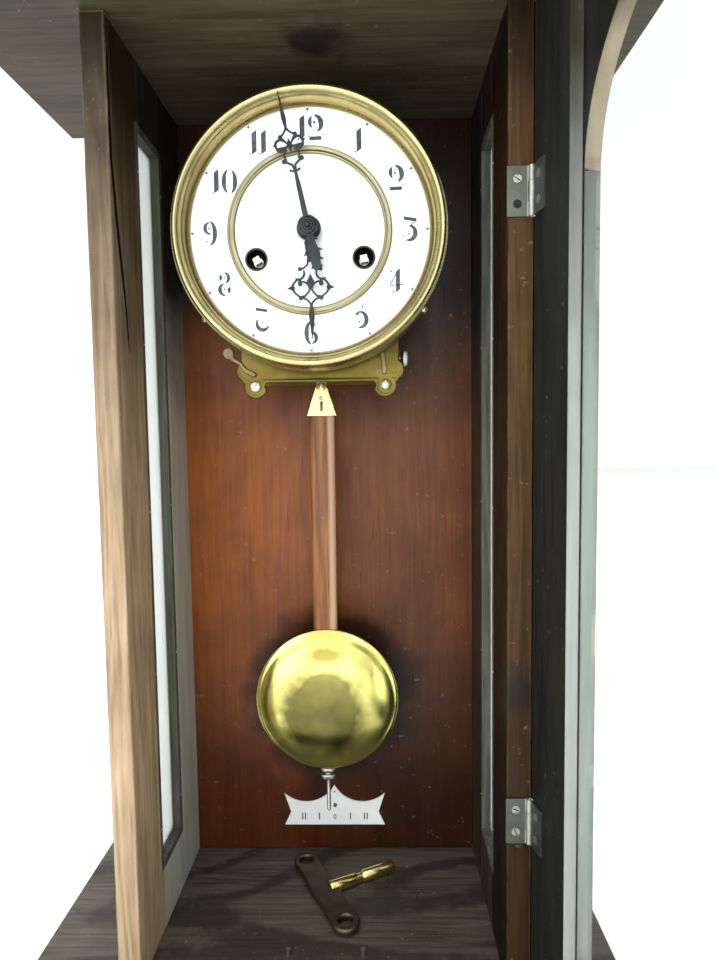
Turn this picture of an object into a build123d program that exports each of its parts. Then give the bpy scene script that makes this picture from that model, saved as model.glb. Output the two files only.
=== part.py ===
"""Pendulum wall clock: a glazed wooden case, a two-train spring movement and a wooden-rod pendulum.

Frame: X to the right, Y towards the wall, Z up. The origin is the centre of the hanger hole on the
wall face of the case. Heights below are measured from the case floor and depths forward from the
front face of the back board, because a clock case is set out from those two faces.
"""
from build123d import *
from math import acos, atan2, cos, degrees, hypot, pi, radians, sin
import os

os.makedirs("parts", exist_ok=True)

# ---- case ----------------------------------------------------------------------------------------
inner_width = 220
inner_height = 565
inner_depth = 130
side_thickness = 14
wall_gap = 18                      # wall face to the front face of the back board
hanger_height = 545
back_thickness = 8
board_thickness = 16
top_width = 394
top_overhang = 45                  # beyond the front edge of the sides
bottom_width = 368
bottom_overhang = 38
crown_inset = 22
crown_thickness = 12
front_stile_width = 47
rear_stile_front = 45
window_low = 46
window_high = 521
rebate = 5                         # width of the glass rebate round a window
rebate_depth = 8
pane = 2
rail_depth = wall_gap - back_thickness
hanging_rail_low = 525
lower_rail_high = 30
touch = 0.2                        # gap left round a loose pane
mitre_gap = 0.05

# ---- hanger plate and screws ---------------------------------------------------------------------
hanger_hole_radius = 5.0
hanger_slot_width = 5.0
hanger_slot_rise = 9.0
plate_length = 66
plate_height = 28
plate_thickness = 2.0
screw_pitch = 48
head_radius = 2.3
shank_radius = 1.2

# ---- door and its hinges -------------------------------------------------------------------------
open_angle = 102                   # how far the door stands open in the rest position
hinge_x = 122.8
hinge_heights = (104.5, 463.0)
hinge_length = 27
leaf_width = 13.4
leaf_thickness = 1.2
leaf_set = 0.1                     # gap from the hinge plane to the face of each leaf
knuckle_radius = 1.8
hinge_pin_radius = 0.9
running = 0.05                     # radial clearance of a running fit
door_edge = 0.8                    # hinge line to the hinge edge of the door
door_thickness = 18
door_gap = 1.0                     # above and below the door
stile_width = 37.5
bottom_rail_width = 44
arch_spring = 459                  # height where the straight opening meets the arch
groove_back = 7                    # wood behind the glass
groove_width = 2.3
groove_depth = 5

# ---- movement ------------------------------------------------------------------------------------
centre_x = -3.2
centre_height = 457
pendulum_x = -1.6
back_plate_depth = 47
front_plate_depth = 79
plate_sheet = 2
plate_half_width = 54
plate_low = 400
plate_high = 525
arbor_radius = 1.0
pivot_radius = 0.8
winding_offset = (33.3, -16.5)
winding_arbor_radius = 3.0
winding_square = 4.4
drum_radius = 25
barrel_teeth, barrel_module = 80, 0.7
intermediate_teeth, intermediate_module = 60, 0.6
centre_teeth, centre_module = 78, 0.5
third_teeth, third_module = 80, 0.45
large_pinion, small_pinion = 10, 8
escape_teeth, escape_radius = 30, 13.0
tooth_share = 0.27                 # width of a tooth on the pitch circle, as a share of the pitch
tooth_root = 1.15                  # depth below the pitch circle, in modules
wheel_tip, leaf_tip = 0.70, 0.50   # height above the pitch circle, in modules
anchor_distance = 18.4
cannon_teeth, minute_teeth, motion_module = 12, 36, 0.5
minute_pinion_teeth, hour_teeth, hour_module = 10, 40, 0.48

# ---- dial and hands ------------------------------------------------------------------------------
dial_depth = 88.2                  # rear face of the dial
dial_sheet = 1.3
dial_radius = 76
ring_inner, ring_outer = 46.2, 51.0
bezel_inner, bezel_outer = 74.0, 84.6
bezel_rear, bezel_front = 76.0, 100.0
winding_hole = 6.6
hour_hand_depth, minute_hand_depth = 95.0, 100.7
hand_sheet = 0.8
minute_hand_angle = -12            # clockwise from twelve
hour_hand_angle = 179
minute_reach, hour_reach = 82, 65

# ---- pendulum ------------------------------------------------------------------------------------
pendulum_depth = 37
rod_top, rod_bottom = 352, 100
rod_top_width, rod_bottom_width, rod_thickness = 18.6, 17.0, 8
cap_top, cap_bottom = 368, 345
cap_sheet = 1
cap_half_bottom, cap_half_top = 10.4, 4.6
cap_hole_height, cap_slot_height = 356, 352
cap_hole_radius, cap_slot_width, cap_slot_length = 1.3, 1.8, 7
hook_pin_radius = 1.2
rod_corner = 3.2
bob_height = 140.5
bob_radius = 51.5
bob_depth = pendulum_depth + 4.5     # the rod ends in the back half of the bob
bob_thickness = 20
nut_top = 88.5
rating_tip = 54
rating_radius = 1.5
rating_bite = 20                   # length of the screw inside the rod
rating_point = 2
nut_rings = ((3.4, 3.2, 5.5), (5.4, 2.2, 3.4), (8.6, 3.4, 5.2))    # drop, height and radius of a ring
bob_rim = 0.5                      # half the thickness of the rim
rod_slack = 0.2

floor_z = -hanger_height
side_x = inner_width / 2
outer_x = side_x + side_thickness
window_rear = rear_stile_front
window_front = inner_depth - front_stile_width
hinge_depth = inner_depth + leaf_thickness + leaf_set


def face(depth):
    """Upright plane facing the room, with x to the right and y up from the case floor."""
    return Plane(origin=(0, -(wall_gap + depth), floor_z), x_dir=(1, 0, 0), z_dir=(0, -1, 0))


def deck(height):
    """Level plane at a height above the case floor, with y towards the wall from the back board."""
    return Plane(origin=(0, -wall_gap, floor_z + height), x_dir=(1, 0, 0), z_dir=(0, 0, 1))


def place(x, depth, height):
    return (x, -(wall_gap + depth), floor_z + height)


def block(x, depth, height, mode=Mode.ADD):
    """Square timber between low and high limits in X, depth and height."""
    with Locations(place(sum(x) / 2, sum(depth) / 2, sum(height) / 2)):
        Box(x[1] - x[0], depth[1] - depth[0], height[1] - height[0], mode=mode)


def rod(x, height, depth, radius, mode=Mode.ADD):
    """Round bar or hole along Y between two depths."""
    with BuildSketch(face(depth[0])) as round_section:
        with Locations((x, height)):
            Circle(radius)
    extrude(round_section.sketch, amount=depth[1] - depth[0], mode=mode)


upright = (Align.CENTER, Align.CENTER, Align.MIN)
hanging = (Align.CENTER, Align.CENTER, Align.MAX)


def save(piece, name):
    piece.part.label = name
    export_step(piece.part, f"parts/{name}.step")


def mirrored(spans, side):
    """A span in X on the right (1) or its mirror image on the left (-1)."""
    return tuple(sorted(side * x for x in spans))


# ---- boards of the case --------------------------------------------------------------------------
with BuildPart() as back_board:
    block((-side_x, side_x), (-back_thickness, 0), (0, inner_height))
save(back_board, "back_board")

nail_pocket = 20
with BuildPart() as rear_rails:
    block((-side_x, side_x), (-wall_gap, -back_thickness), (hanging_rail_low, inner_height))
    block((-side_x, side_x), (-wall_gap, -back_thickness), (0, lower_rail_high))
    block((-plate_length / 2, plate_length / 2), (-wall_gap, plate_thickness - wall_gap),
          (hanger_height - plate_height / 2 + 2, hanger_height + plate_height / 2 + 2), Mode.SUBTRACT)
    block((-nail_pocket / 2, nail_pocket / 2), (-wall_gap, -back_thickness - 2),
          (hanger_height - 8, hanger_height + 14), Mode.SUBTRACT)
    for side in (-1, 1):
        rod(side * screw_pitch / 2, hanger_height, (-wall_gap, -back_thickness), shank_radius,
            Mode.SUBTRACT)
save(rear_rails, "rear_rails")

with BuildPart() as top_board:
    block((-top_width / 2, top_width / 2), (-wall_gap, inner_depth + top_overhang),
          (inner_height, inner_height + board_thickness))
    show_edges = top_board.edges().filter_by(Axis.Z).sort_by(Axis.Y)[:2]
    fillet(show_edges, 6)
    rim = top_board.faces().sort_by(Axis.Z)[-1].edges().sort_by(Axis.Y)[:-1]
    chamfer(rim, 5)
save(top_board, "top_board")

with BuildPart() as crown_board:
    block((crown_inset - top_width / 2, top_width / 2 - crown_inset),
          (-wall_gap, inner_depth + top_overhang - crown_inset),
          (inner_height + board_thickness, inner_height + board_thickness + crown_thickness))
    rim = crown_board.faces().sort_by(Axis.Z)[-1].edges().sort_by(Axis.Y)[:-1]
    fillet(rim, 7)
save(crown_board, "crown_board")

with BuildPart() as bottom_board:
    block((-bottom_width / 2, bottom_width / 2), (-wall_gap, inner_depth + bottom_overhang),
          (-board_thickness, 0))
    fillet(bottom_board.edges().filter_by(Axis.Z).sort_by(Axis.Y)[:2], 8)
    rim = bottom_board.faces().sort_by(Axis.Z)[0].edges().sort_by(Axis.Y)[:-1]
    chamfer(rim, 6)
save(bottom_board, "bottom_board")

# ---- side frames ---------------------------------------------------------------------------------
hook_pivot = (120, 300)            # depth and height of the hook's screw on the left side
peg_spots = ((-24, 106), (24, 106))
peg_radius = 1.6


def window_rebate(side):
    block(mirrored((side_x, side_x + rebate_depth), side),
          (window_rear - rebate, window_front + rebate),
          (window_low - rebate, window_high + rebate), Mode.SUBTRACT)


def hinge_seats(radius):
    """Hollows in the timber round the two hinge knuckles."""
    for height in hinge_heights:
        with Locations(place(hinge_x, hinge_depth, height)):
            Cylinder(radius, hinge_length + 1, mode=Mode.SUBTRACT)


screw_rises = (-hinge_length / 4, hinge_length / 4)
leaf_screw_x = hinge_x - leaf_width / 2 - 1
knuckle_room = 0.4
screw_sink = 0.04

with BuildPart() as left_front_stile:
    block((-outer_x, -side_x), (window_front, inner_depth), (0, inner_height))
    window_rebate(-1)
    with Locations(Plane(origin=place(-outer_x, *hook_pivot), z_dir=(1, 0, 0)).location):
        Cylinder(shank_radius, 8, align=upright, mode=Mode.SUBTRACT)
save(left_front_stile, "left_front_stile")

with BuildPart() as right_front_stile:
    block((side_x, outer_x), (window_front, inner_depth), (0, inner_height))
    window_rebate(1)
    hinge_seats(knuckle_radius + knuckle_room)
    for height in hinge_heights:
        for rise in screw_rises:
            rod(leaf_screw_x, height + rise, (inner_depth - 10, inner_depth), shank_radius, Mode.SUBTRACT)
save(right_front_stile, "right_front_stile")

with BuildPart() as rear_stiles:
    for side in (-1, 1):
        block(mirrored((side_x, outer_x), side), (-wall_gap, window_rear), (0, inner_height))
        window_rebate(side)
save(rear_stiles, "rear_stiles")

with BuildPart() as side_rails:
    for side in (-1, 1):
        block(mirrored((side_x, outer_x), side), (window_rear, window_front), (0, window_low))
        block(mirrored((side_x, outer_x), side), (window_rear, window_front), (window_high, inner_height))
        window_rebate(side)
save(side_rails, "side_rails")

with BuildPart() as side_glass:
    for side in (-1, 1):
        block(mirrored((side_x + rebate_depth - pane, side_x + rebate_depth), side),
              (window_rear - rebate + touch, window_front + rebate - touch),
              (window_low - rebate + touch, window_high + rebate - touch))
save(side_glass, "side_glass")

with BuildPart() as side_glass_beads:
    for side in (-1, 1):
        bead_x = mirrored((side_x, side_x + rebate_depth - pane), side)
        for depth in ((window_rear - rebate, window_rear), (window_front, window_front + rebate)):
            block(bead_x, depth, (window_low - rebate, window_high + rebate))
        for height in ((window_low - rebate, window_low), (window_high, window_high + rebate)):
            block(bead_x, (window_rear + mitre_gap, window_front - mitre_gap), height)
save(side_glass_beads, "side_glass_beads")

# ---- hanger plate --------------------------------------------------------------------------------
with BuildPart() as hanger_plate:
    with BuildSketch(face(-wall_gap)):
        with Locations((0, hanger_height + 2)):
            RectangleRounded(plate_length, plate_height, 4)
        with Locations((0, hanger_height)):
            Circle(hanger_hole_radius, mode=Mode.SUBTRACT)
        with Locations((0, hanger_height + hanger_slot_rise / 2)):
            Rectangle(hanger_slot_width, hanger_slot_rise, mode=Mode.SUBTRACT)
        with Locations((0, hanger_height + hanger_slot_rise)):
            Circle(hanger_slot_width / 2, mode=Mode.SUBTRACT)
    extrude(amount=plate_thickness)
    for side in (-1, 1):
        with Locations(Plane(origin=place(side * screw_pitch / 2, -wall_gap, hanger_height),
                             z_dir=(0, 1, 0)).location):
            CounterSinkHole(shank_radius + running, head_radius + 0.2, plate_thickness, 90)
save(hanger_plate, "hanger_plate")


def wood_screw(plane, length, sink=0.0):
    """Slotted countersunk screw with the top of its head on the plane, driven along minus z."""
    head = head_radius - shank_radius
    with Locations(plane.offset(-sink).location):
        Cone(shank_radius, head_radius, head, align=hanging)
        Cylinder(shank_radius - 0.02, length, align=hanging)
        Box(0.7, 2.2 * head_radius, 0.5, align=hanging, mode=Mode.SUBTRACT)


# ---- hinges: leaf and knuckles of one side, seen in a plane whose x runs from the hinge line -----
knuckle_cuts = (-0.5, -0.2, 0.2, 0.5)    # knuckle ends as parts of the hinge length
knuckle_play = 0.1


def hinge_leaf(origin, x_dir, y_dir, owns_ends):
    """Leaf lying behind the hinge line, with either the two end knuckles or the middle one."""
    seat = Plane(origin=origin, x_dir=x_dir, z_dir=(0, 0, 1))
    side = 1 if seat.y_dir.dot(Vector(*y_dir)) > 0 else -1
    spans = [(knuckle_cuts[0], knuckle_cuts[1]), (knuckle_cuts[2], knuckle_cuts[3])]
    if not owns_ends:
        spans = [(knuckle_cuts[1], knuckle_cuts[2])]
    near, far = side * leaf_set, side * (leaf_set + leaf_thickness)
    clear = knuckle_radius + 0.25
    with BuildSketch(seat.offset(-hinge_length / 2)) as leaf:
        with Locations(((clear + leaf_width) / 2, (near + far) / 2)):
            Rectangle(leaf_width - clear, leaf_thickness)
    extrude(leaf.sketch, amount=hinge_length)
    for low, high in spans:
        start = low * hinge_length + (knuckle_play if low > -0.5 else 0)
        end = high * hinge_length - (knuckle_play if high < 0.5 else 0)
        with BuildSketch(seat.offset(start)) as knuckle:
            with Locations((clear / 2, (near + far) / 2)):
                Rectangle(clear + 0.1, leaf_thickness)
            Circle(knuckle_radius)
            Circle(hinge_pin_radius + running, mode=Mode.SUBTRACT)
        extrude(knuckle.sketch, amount=end - start)


def hinge_axis_point(height):
    return place(hinge_x, hinge_depth, height)


swing = radians(open_angle)
along_door = (-cos(swing), -sin(swing), 0)       # from the hinge line to the latch edge
out_of_door = (sin(swing), -cos(swing), 0)       # through the door to its outer face
into_door = tuple(-v for v in out_of_door)


def door_point(reach, through, height):
    """Point on the open door: reach from the hinge line, through from the hinge plane outwards."""
    x, y, z = place(hinge_x, hinge_depth, height)
    return (x + reach * along_door[0] + through * out_of_door[0],
            y + reach * along_door[1] + through * out_of_door[1], z)


def door_face(through):
    """Plane of the open door facing the case, with x from the hinge line and y up from the floor."""
    return Plane(origin=door_point(0, through, 0), x_dir=along_door, z_dir=into_door)


with BuildPart() as case_hinge_leaves:
    for height in hinge_heights:
        hinge_leaf(hinge_axis_point(height), (-1, 0, 0), (0, 1, 0), True)
    for height in hinge_heights:
        for rise in screw_rises:
            spot = Plane(origin=place(leaf_screw_x, inner_depth + leaf_thickness, height + rise),
                         x_dir=(1, 0, 0), z_dir=(0, -1, 0))
            with Locations(spot.location):
                CounterSinkHole(shank_radius + running, head_radius + 0.1, 3, 90)
    for height in hinge_heights:
        with Locations(place(hinge_x, hinge_depth, height)):
            Cylinder(hinge_pin_radius, hinge_length + 1)
save(case_hinge_leaves, "case_hinge_leaves")

leaf_back = leaf_set + leaf_thickness
door_screw_reach = hinge_x - leaf_screw_x

with BuildPart() as door_hinge_leaves:
    for height in hinge_heights:
        hinge_leaf(hinge_axis_point(height), along_door, out_of_door, False)
    for height in hinge_heights:
        for rise in screw_rises:
            spot = Plane(origin=door_point(door_screw_reach, leaf_set, height + rise),
                         x_dir=along_door, z_dir=into_door)
            with Locations(spot.location):
                CounterSinkHole(shank_radius + running, head_radius + 0.1, 3, 90)
save(door_hinge_leaves, "door_hinge_leaves")

# ---- door ----------------------------------------------------------------------------------------
door_far = hinge_x + outer_x                     # reach of the latch edge
door_low, door_high = door_gap, inner_height - door_gap
opening_near, opening_far = door_edge + stile_width, door_far - stile_width
arch_radius = (opening_far - opening_near) / 2
arch_centre = (opening_near + opening_far) / 2
glass_low = door_low + bottom_rail_width - groove_depth
glass_high = door_high - 4
pin_height = hook_pivot[1]
pin_through = leaf_back + door_thickness / 2
pin_radius = 1.5


def door_groove():
    """Slot for the pane in whichever timber is being made."""
    with BuildSketch(door_face(leaf_back + groove_back)) as slot:
        with Locations((arch_centre, (glass_low + glass_high) / 2)):
            Rectangle(opening_far - opening_near + 2 * groove_depth, glass_high - glass_low)
    extrude(slot.sketch, amount=-groove_width, mode=Mode.SUBTRACT)


def door_board(reach, height):
    with BuildSketch(door_face(leaf_back)) as board:
        with Locations((sum(reach) / 2, sum(height) / 2)):
            Rectangle(reach[1] - reach[0], height[1] - height[0])
    extrude(board.sketch, amount=-door_thickness)


with BuildPart() as door_hinge_stile:
    door_board((door_edge, opening_near), (door_low, door_high))
    door_groove()
    hinge_seats(knuckle_radius + knuckle_room)
    for height in hinge_heights:
        for rise in screw_rises:
            with Locations(Plane(origin=door_point(door_screw_reach, leaf_back, height + rise),
                                 x_dir=along_door, z_dir=out_of_door).location):
                Cylinder(shank_radius, 10, align=upright, mode=Mode.SUBTRACT)
save(door_hinge_stile, "door_hinge_stile")

with BuildPart() as door_latch_stile:
    door_board((opening_far, door_far), (door_low, door_high))
    door_groove()
    with Locations(Plane(origin=door_point(door_far, pin_through, pin_height), x_dir=(0, 0, 1),
                         z_dir=tuple(-v for v in along_door)).location):
        Cylinder(pin_radius, 12, align=upright, mode=Mode.SUBTRACT)
save(door_latch_stile, "door_latch_stile")

with BuildPart() as door_bottom_rail:
    door_board((opening_near, opening_far), (door_low, door_low + bottom_rail_width))
    door_groove()
save(door_bottom_rail, "door_bottom_rail")

with BuildPart() as door_arch_rail:
    door_board((opening_near, opening_far), (arch_spring, door_high))
    with BuildSketch(door_face(leaf_back)):
        with Locations((arch_centre, arch_spring)):
            Circle(arch_radius)
    extrude(amount=-door_thickness, mode=Mode.SUBTRACT)
    block_back = groove_back + groove_width
    with BuildSketch(door_face(leaf_back)):
        with Locations((arch_centre, (arch_spring + glass_high) / 2 - 1)):
            Rectangle(opening_far - opening_near, glass_high - arch_spring + 2)
    extrude(amount=-block_back, mode=Mode.SUBTRACT)
save(door_arch_rail, "door_arch_rail")

with BuildPart() as door_glass:
    with BuildSketch(door_face(leaf_back + groove_back + 0.15)):
        with Locations((arch_centre, (glass_low + glass_high) / 2)):
            Rectangle(opening_far - opening_near + 2 * groove_depth - 2 * touch,
                      glass_high - glass_low - 2 * touch)
    extrude(amount=-pane)
save(door_glass, "door_glass")

with BuildPart() as door_screws:
    for height in hinge_heights:
        for rise in screw_rises:
            wood_screw(Plane(origin=door_point(door_screw_reach, leaf_set, height + rise),
                             x_dir=along_door, z_dir=into_door), 9, screw_sink)
    with Locations(Plane(origin=door_point(door_far + 3.6, pin_through, pin_height), x_dir=(0, 0, 1),
                         z_dir=tuple(-v for v in along_door)).location):
        Cylinder(pin_radius, 14, align=upright)
save(door_screws, "door_screws")

# ---- hook on the left side, hanging straight down ------------------------------------------------
hook_length = inner_depth + leaf_set + leaf_thickness + pin_through + leaf_set - hook_pivot[0]
hook_sheet = 1.4
hook_gap = 0.5
hook_width = 6
hook_plane = Plane(origin=place(-outer_x - hook_gap, hook_pivot[0], hook_pivot[1]),
                   x_dir=(0, 0, -1), z_dir=(-1, 0, 0))

with BuildPart() as door_hook:
    with BuildSketch(hook_plane):
        with Locations((hook_length / 2, 0)):
            SlotCenterToCenter(hook_length, hook_width)
        Circle(shank_radius + running + 0.3, mode=Mode.SUBTRACT)
        with Locations((hook_length, 0)):
            Circle(pin_radius + 0.4, mode=Mode.SUBTRACT)
        with Locations((hook_length, -hook_width / 2)):
            Rectangle(2 * pin_radius + 0.8, hook_width, mode=Mode.SUBTRACT)
    extrude(amount=hook_sheet)
save(door_hook, "door_hook")

# ---- screws and pegs fixed in the case -----------------------------------------------------------
with BuildPart() as case_screws:
    for side in (-1, 1):
        wood_screw(Plane(origin=place(side * screw_pitch / 2, -wall_gap, hanger_height),
                         x_dir=(1, 0, 0), z_dir=(0, 1, 0)), 8, 0.1)
    for height in hinge_heights:
        for rise in screw_rises:
            wood_screw(Plane(origin=place(leaf_screw_x, inner_depth + leaf_thickness, height + rise),
                             x_dir=(1, 0, 0), z_dir=(0, -1, 0)), 9, screw_sink)
    with Locations(Plane(origin=place(-outer_x, *hook_pivot), z_dir=(-1, 0, 0)).location):
        Cylinder(shank_radius, 7, align=hanging)
    with Locations(Plane(origin=place(-outer_x - hook_gap - hook_sheet - 0.4, *hook_pivot),
                         z_dir=(-1, 0, 0)).location):
        Cylinder(shank_radius, hook_gap + hook_sheet + 0.4, align=hanging)
        Cylinder(2.8, 1.2, align=upright)
    for x, depth in peg_spots:
        with Locations(place(x, depth, 0)):
            Cylinder(peg_radius, 4, align=upright)
save(case_screws, "case_screws")

# ---- beat scale ----------------------------------------------------------------------------------
scale_half, scale_low, scale_apex, scale_horn = 40, 20.5, 53.4, 46.5
with BuildPart() as beat_scale:
    with BuildSketch(face(0)):
        with BuildLine():
            Polyline((-scale_half, scale_low), (scale_half, scale_low), (35, 31), (scale_half, scale_horn))
            ThreePointArc((scale_half, scale_horn), (22, 39.5), (0, scale_apex))
            ThreePointArc((0, scale_apex), (-22, 39.5), (-scale_half, scale_horn))
            Polyline((-scale_half, scale_horn), (-35, 31), (-scale_half, scale_low))
        make_face()
    extrude(amount=1)
save(beat_scale, "beat_scale")

# ---- movement bracket ----------------------------------------------------------------------------
bracket_depth = 66
bracket_arm = 50
bracket_low, bracket_high = 366.5, 399.7
lug_x, lug_height, lug_radius = 43, 364, 7.6
bracket_sheet = 1.6
arm_sheet = 2
arm_foot = 374
lug_hole_radius = 1.6
wing_offset = (6, 10)                # from the centre of a lug to the round shoulder above it
thumb_depth, thumb_height = 60, 382  # where the thumb screw stands on the right arm
thumb_neck = 5
slot_width = 1
lever_width = 4

with BuildPart() as movement_bracket:
    with BuildSketch(face(bracket_depth)):
        with Locations((0, (bracket_low + bracket_high) / 2)):
            Rectangle(2 * (bracket_arm + arm_sheet), bracket_high - bracket_low)
        with Locations((-lug_x, lug_height), (lug_x, lug_height)):
            Circle(lug_radius)
        shoulder_x, shoulder_height = lug_x + wing_offset[0], lug_height + wing_offset[1]
        with Locations((-shoulder_x, shoulder_height), (shoulder_x, shoulder_height)):
            Circle(lug_radius - 1)
        with Locations((-lug_x, lug_height), (lug_x, lug_height)):
            Circle(lug_hole_radius, mode=Mode.SUBTRACT)
    extrude(amount=bracket_sheet)
    for side in (-1, 1):
        block(mirrored((bracket_arm - arm_sheet, bracket_arm), side), (bracket_sheet, bracket_depth),
              (arm_foot, bracket_high))
    block((-bracket_arm, bracket_arm), (0, bracket_sheet), (arm_foot - 4, bracket_high))
save(movement_bracket, "movement_bracket")

screw_face = bracket_depth + bracket_sheet
with BuildPart() as clamp_screws:
    for side in (-1, 1):
        rod(side * lug_x, lug_height, (bracket_depth - 8, screw_face), lug_hole_radius)
        rod(side * lug_x, lug_height, (screw_face, screw_face + 2.2), 3.4)
    with BuildSketch(face(screw_face + 1.4)):
        with Locations(Location((-lug_x, lug_height), 40), Location((lug_x, lug_height), 90)):
            Rectangle(2 * thumb_neck, slot_width)
    extrude(amount=slot_width, mode=Mode.SUBTRACT)
    thumb = Plane(origin=place(bracket_arm, thumb_depth, thumb_height), z_dir=(1, 0, 0))
    with Locations(thumb.location):
        Cylinder(1.5, thumb_neck, align=upright)
    with Locations(thumb.offset(thumb_neck).location):
        Cylinder(6, 3, align=upright)
save(clamp_screws, "clamp_screws")

with BuildPart() as clamp_levers:
    for side, knob_radius, reach in ((-1, 4.4, 17), (1, 2.2, -2)):
        start = (side * (lug_x - 1), lug_height + 9)
        end = (side * (lug_x + reach), lug_height + 22)
        with BuildSketch(face(screw_face)):
            with BuildLine():
                Line(start, end)
            middle = ((start[0] + end[0]) / 2, (start[1] + end[1]) / 2)
            lean = degrees(atan2(end[1] - start[1], end[0] - start[0]))
            with Locations(Location(middle, lean)):
                SlotCenterToCenter(hypot(end[0] - start[0], end[1] - start[1]), lever_width)
            with Locations(end):
                Circle(knob_radius)
        extrude(amount=bracket_sheet)
save(clamp_levers, "clamp_levers")

# ---- wheel train: where each arbor stands --------------------------------------------------------


def apart(teeth, pinion, module):
    """Distance between the arbors of a wheel and its pinion."""
    return (teeth + pinion) * module / 2


def polar(origin, distance, angle):
    return (origin[0] + distance * cos(angle), origin[1] + distance * sin(angle))


centre = (centre_x, centre_height)
going = (centre[0] + winding_offset[0], centre[1] + winding_offset[1])
strike = (centre[0] - winding_offset[0], centre[1] + winding_offset[1])
barrel_reach = apart(barrel_teeth, large_pinion, barrel_module)
intermediate_reach = apart(intermediate_teeth, large_pinion, intermediate_module)
straight = hypot(*winding_offset)
corner = acos((straight**2 + intermediate_reach**2 - barrel_reach**2) / (2 * straight * intermediate_reach))
intermediate = polar(centre, intermediate_reach, atan2(winding_offset[1], winding_offset[0]) - corner)
third = polar(centre, apart(centre_teeth, small_pinion, centre_module), pi / 2)
escape = polar(third, apart(third_teeth, small_pinion, third_module), pi / 2 - 0.04)
anchor_arbor = (pendulum_x, escape[1] + anchor_distance)
minute_stud = polar(centre, apart(cannon_teeth, minute_teeth, motion_module), -3 * pi / 4)
suspension_height = anchor_arbor[1]


def bearing(start, end):
    return degrees(atan2(end[1] - start[1], end[0] - start[0]))


def meshing(first, first_teeth, first_turn, second, second_teeth):
    """Turn, in degrees, that puts a gap of the second gear opposite a tooth of the first."""
    line = bearing(first, second)
    ahead = (first_turn - line) * first_teeth / 360 + 0.5
    return line + 180 - ahead * 360 / second_teeth


def gear_outline(teeth, module, turn, tip):
    """Corner points of a thin-toothed clock gear about the origin."""
    thickness = tooth_share
    radius = teeth * module / 2
    pitch = 360 / teeth
    points = []
    for tooth in range(teeth):
        middle = turn + tooth * pitch
        for reach, half in ((radius - tooth_root * module, -thickness * 0.58), (radius, -thickness / 2),
                            (radius + tip * module, -thickness * 0.2),
                            (radius + tip * module, thickness * 0.2),
                            (radius, thickness / 2), (radius - tooth_root * module, thickness * 0.58)):
            angle = radians(middle + half * pitch)
            points.append((reach * cos(angle), reach * sin(angle)))
    return points


def gear(centre_point, depth, teeth, module, turn, tip=wheel_tip):
    """Toothed disc between two depths."""
    corners = gear_outline(teeth, module, turn, tip)
    outline = [(centre_point[0] + x, centre_point[1] + y) for x, y in corners]
    with BuildSketch(face(depth[0])) as blank:
        with BuildLine():
            Polyline(*outline, close=True)
        make_face()
    extrude(blank.sketch, amount=depth[1] - depth[0])


def spokes(centre_point, depth, inner, outer, count=5):
    """Windows between the spokes of a wheel."""
    width = radians(360 / count)
    for spoke in range(count):
        start, end = spoke * width + 0.16, (spoke + 1) * width - 0.16
        with BuildSketch(face(depth[0])) as window:
            with BuildLine():
                Polyline(polar(centre_point, inner, start), polar(centre_point, outer, start),
                         polar(centre_point, outer * 1.04, (start + end) / 2),
                         polar(centre_point, outer, end), polar(centre_point, inner, end), close=True)
            make_face()
        extrude(window.sketch, amount=depth[1] - depth[0], mode=Mode.SUBTRACT)


plate_inside = (back_plate_depth + plate_sheet, front_plate_depth)
end_shake = 0.1


def plain_arbor(spot):
    """Arbor between the plates with a pivot at each end."""
    rod(*spot, (plate_inside[0] + end_shake, plate_inside[1] - end_shake), arbor_radius)
    rod(*spot, (back_plate_depth + 0.2, front_plate_depth + plate_sheet - 0.2), pivot_radius)


centre_level = (50.0, 51.2)
great_level = (52.5, 55.0)
drum_level = (55.0, 72.0)
third_level = (62.0, 63.2)
escape_level = (57.0, 58.2)
intermediate_level = (74.5, 75.7)
minute_level = (82.6, 83.8)
hour_level = (85.4, 86.6)


def around(level, more=0.3):
    return (level[0] - more, level[1] + more)


def barrel(spot, turn):
    gear(spot, great_level, barrel_teeth, barrel_module, turn)
    rod(*spot, drum_level, drum_radius)
    rod(*spot, (drum_level[0] + 1, drum_level[1] - 1.2), drum_radius - 1.5, Mode.SUBTRACT)
    rod(*spot, (drum_level[0] + 1, drum_level[1] - 1.2), winding_arbor_radius + 3)
    rod(*spot, (great_level[0], drum_level[1]), winding_arbor_radius + running, Mode.SUBTRACT)
    block((spot[0] - 2, spot[0] + 2), (drum_level[1] - 1.3, drum_level[1]),
          (spot[1] + 12, spot[1] + 16), Mode.SUBTRACT)


with BuildPart() as going_barrel:
    barrel(going, 0)
save(going_barrel, "going_barrel")

with BuildPart() as strike_barrel:
    barrel(strike, 0)
save(strike_barrel, "strike_barrel")


def winding_arbor(spot, turn):
    rod(*spot, (back_plate_depth - 0.6, front_plate_depth + plate_sheet + 0.6), winding_arbor_radius)
    with BuildSketch(face(front_plate_depth + plate_sheet + 0.6)) as square:
        with Locations(Location(spot, turn)):
            Rectangle(winding_square, winding_square)
    extrude(square.sketch, amount=6.2)
    for level in (great_level[0] - 1.2, drum_level[1] + 0.2):
        rod(*spot, (level, level + 1), winding_arbor_radius + 2)


with BuildPart() as going_arbor:
    winding_arbor(going, 10)
save(going_arbor, "going_arbor")

with BuildPart() as strike_arbor:
    winding_arbor(strike, 30)
save(strike_arbor, "strike_arbor")

with BuildPart() as intermediate_wheel:
    plain_arbor(intermediate)
    gear(intermediate, around(great_level), large_pinion, barrel_module,
         meshing(going, barrel_teeth, 0, intermediate, large_pinion), leaf_tip)
    gear(intermediate, intermediate_level, intermediate_teeth, intermediate_module, 0)
    spokes(intermediate, intermediate_level, 4.5, 14.5)
save(intermediate_wheel, "intermediate_wheel")

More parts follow.
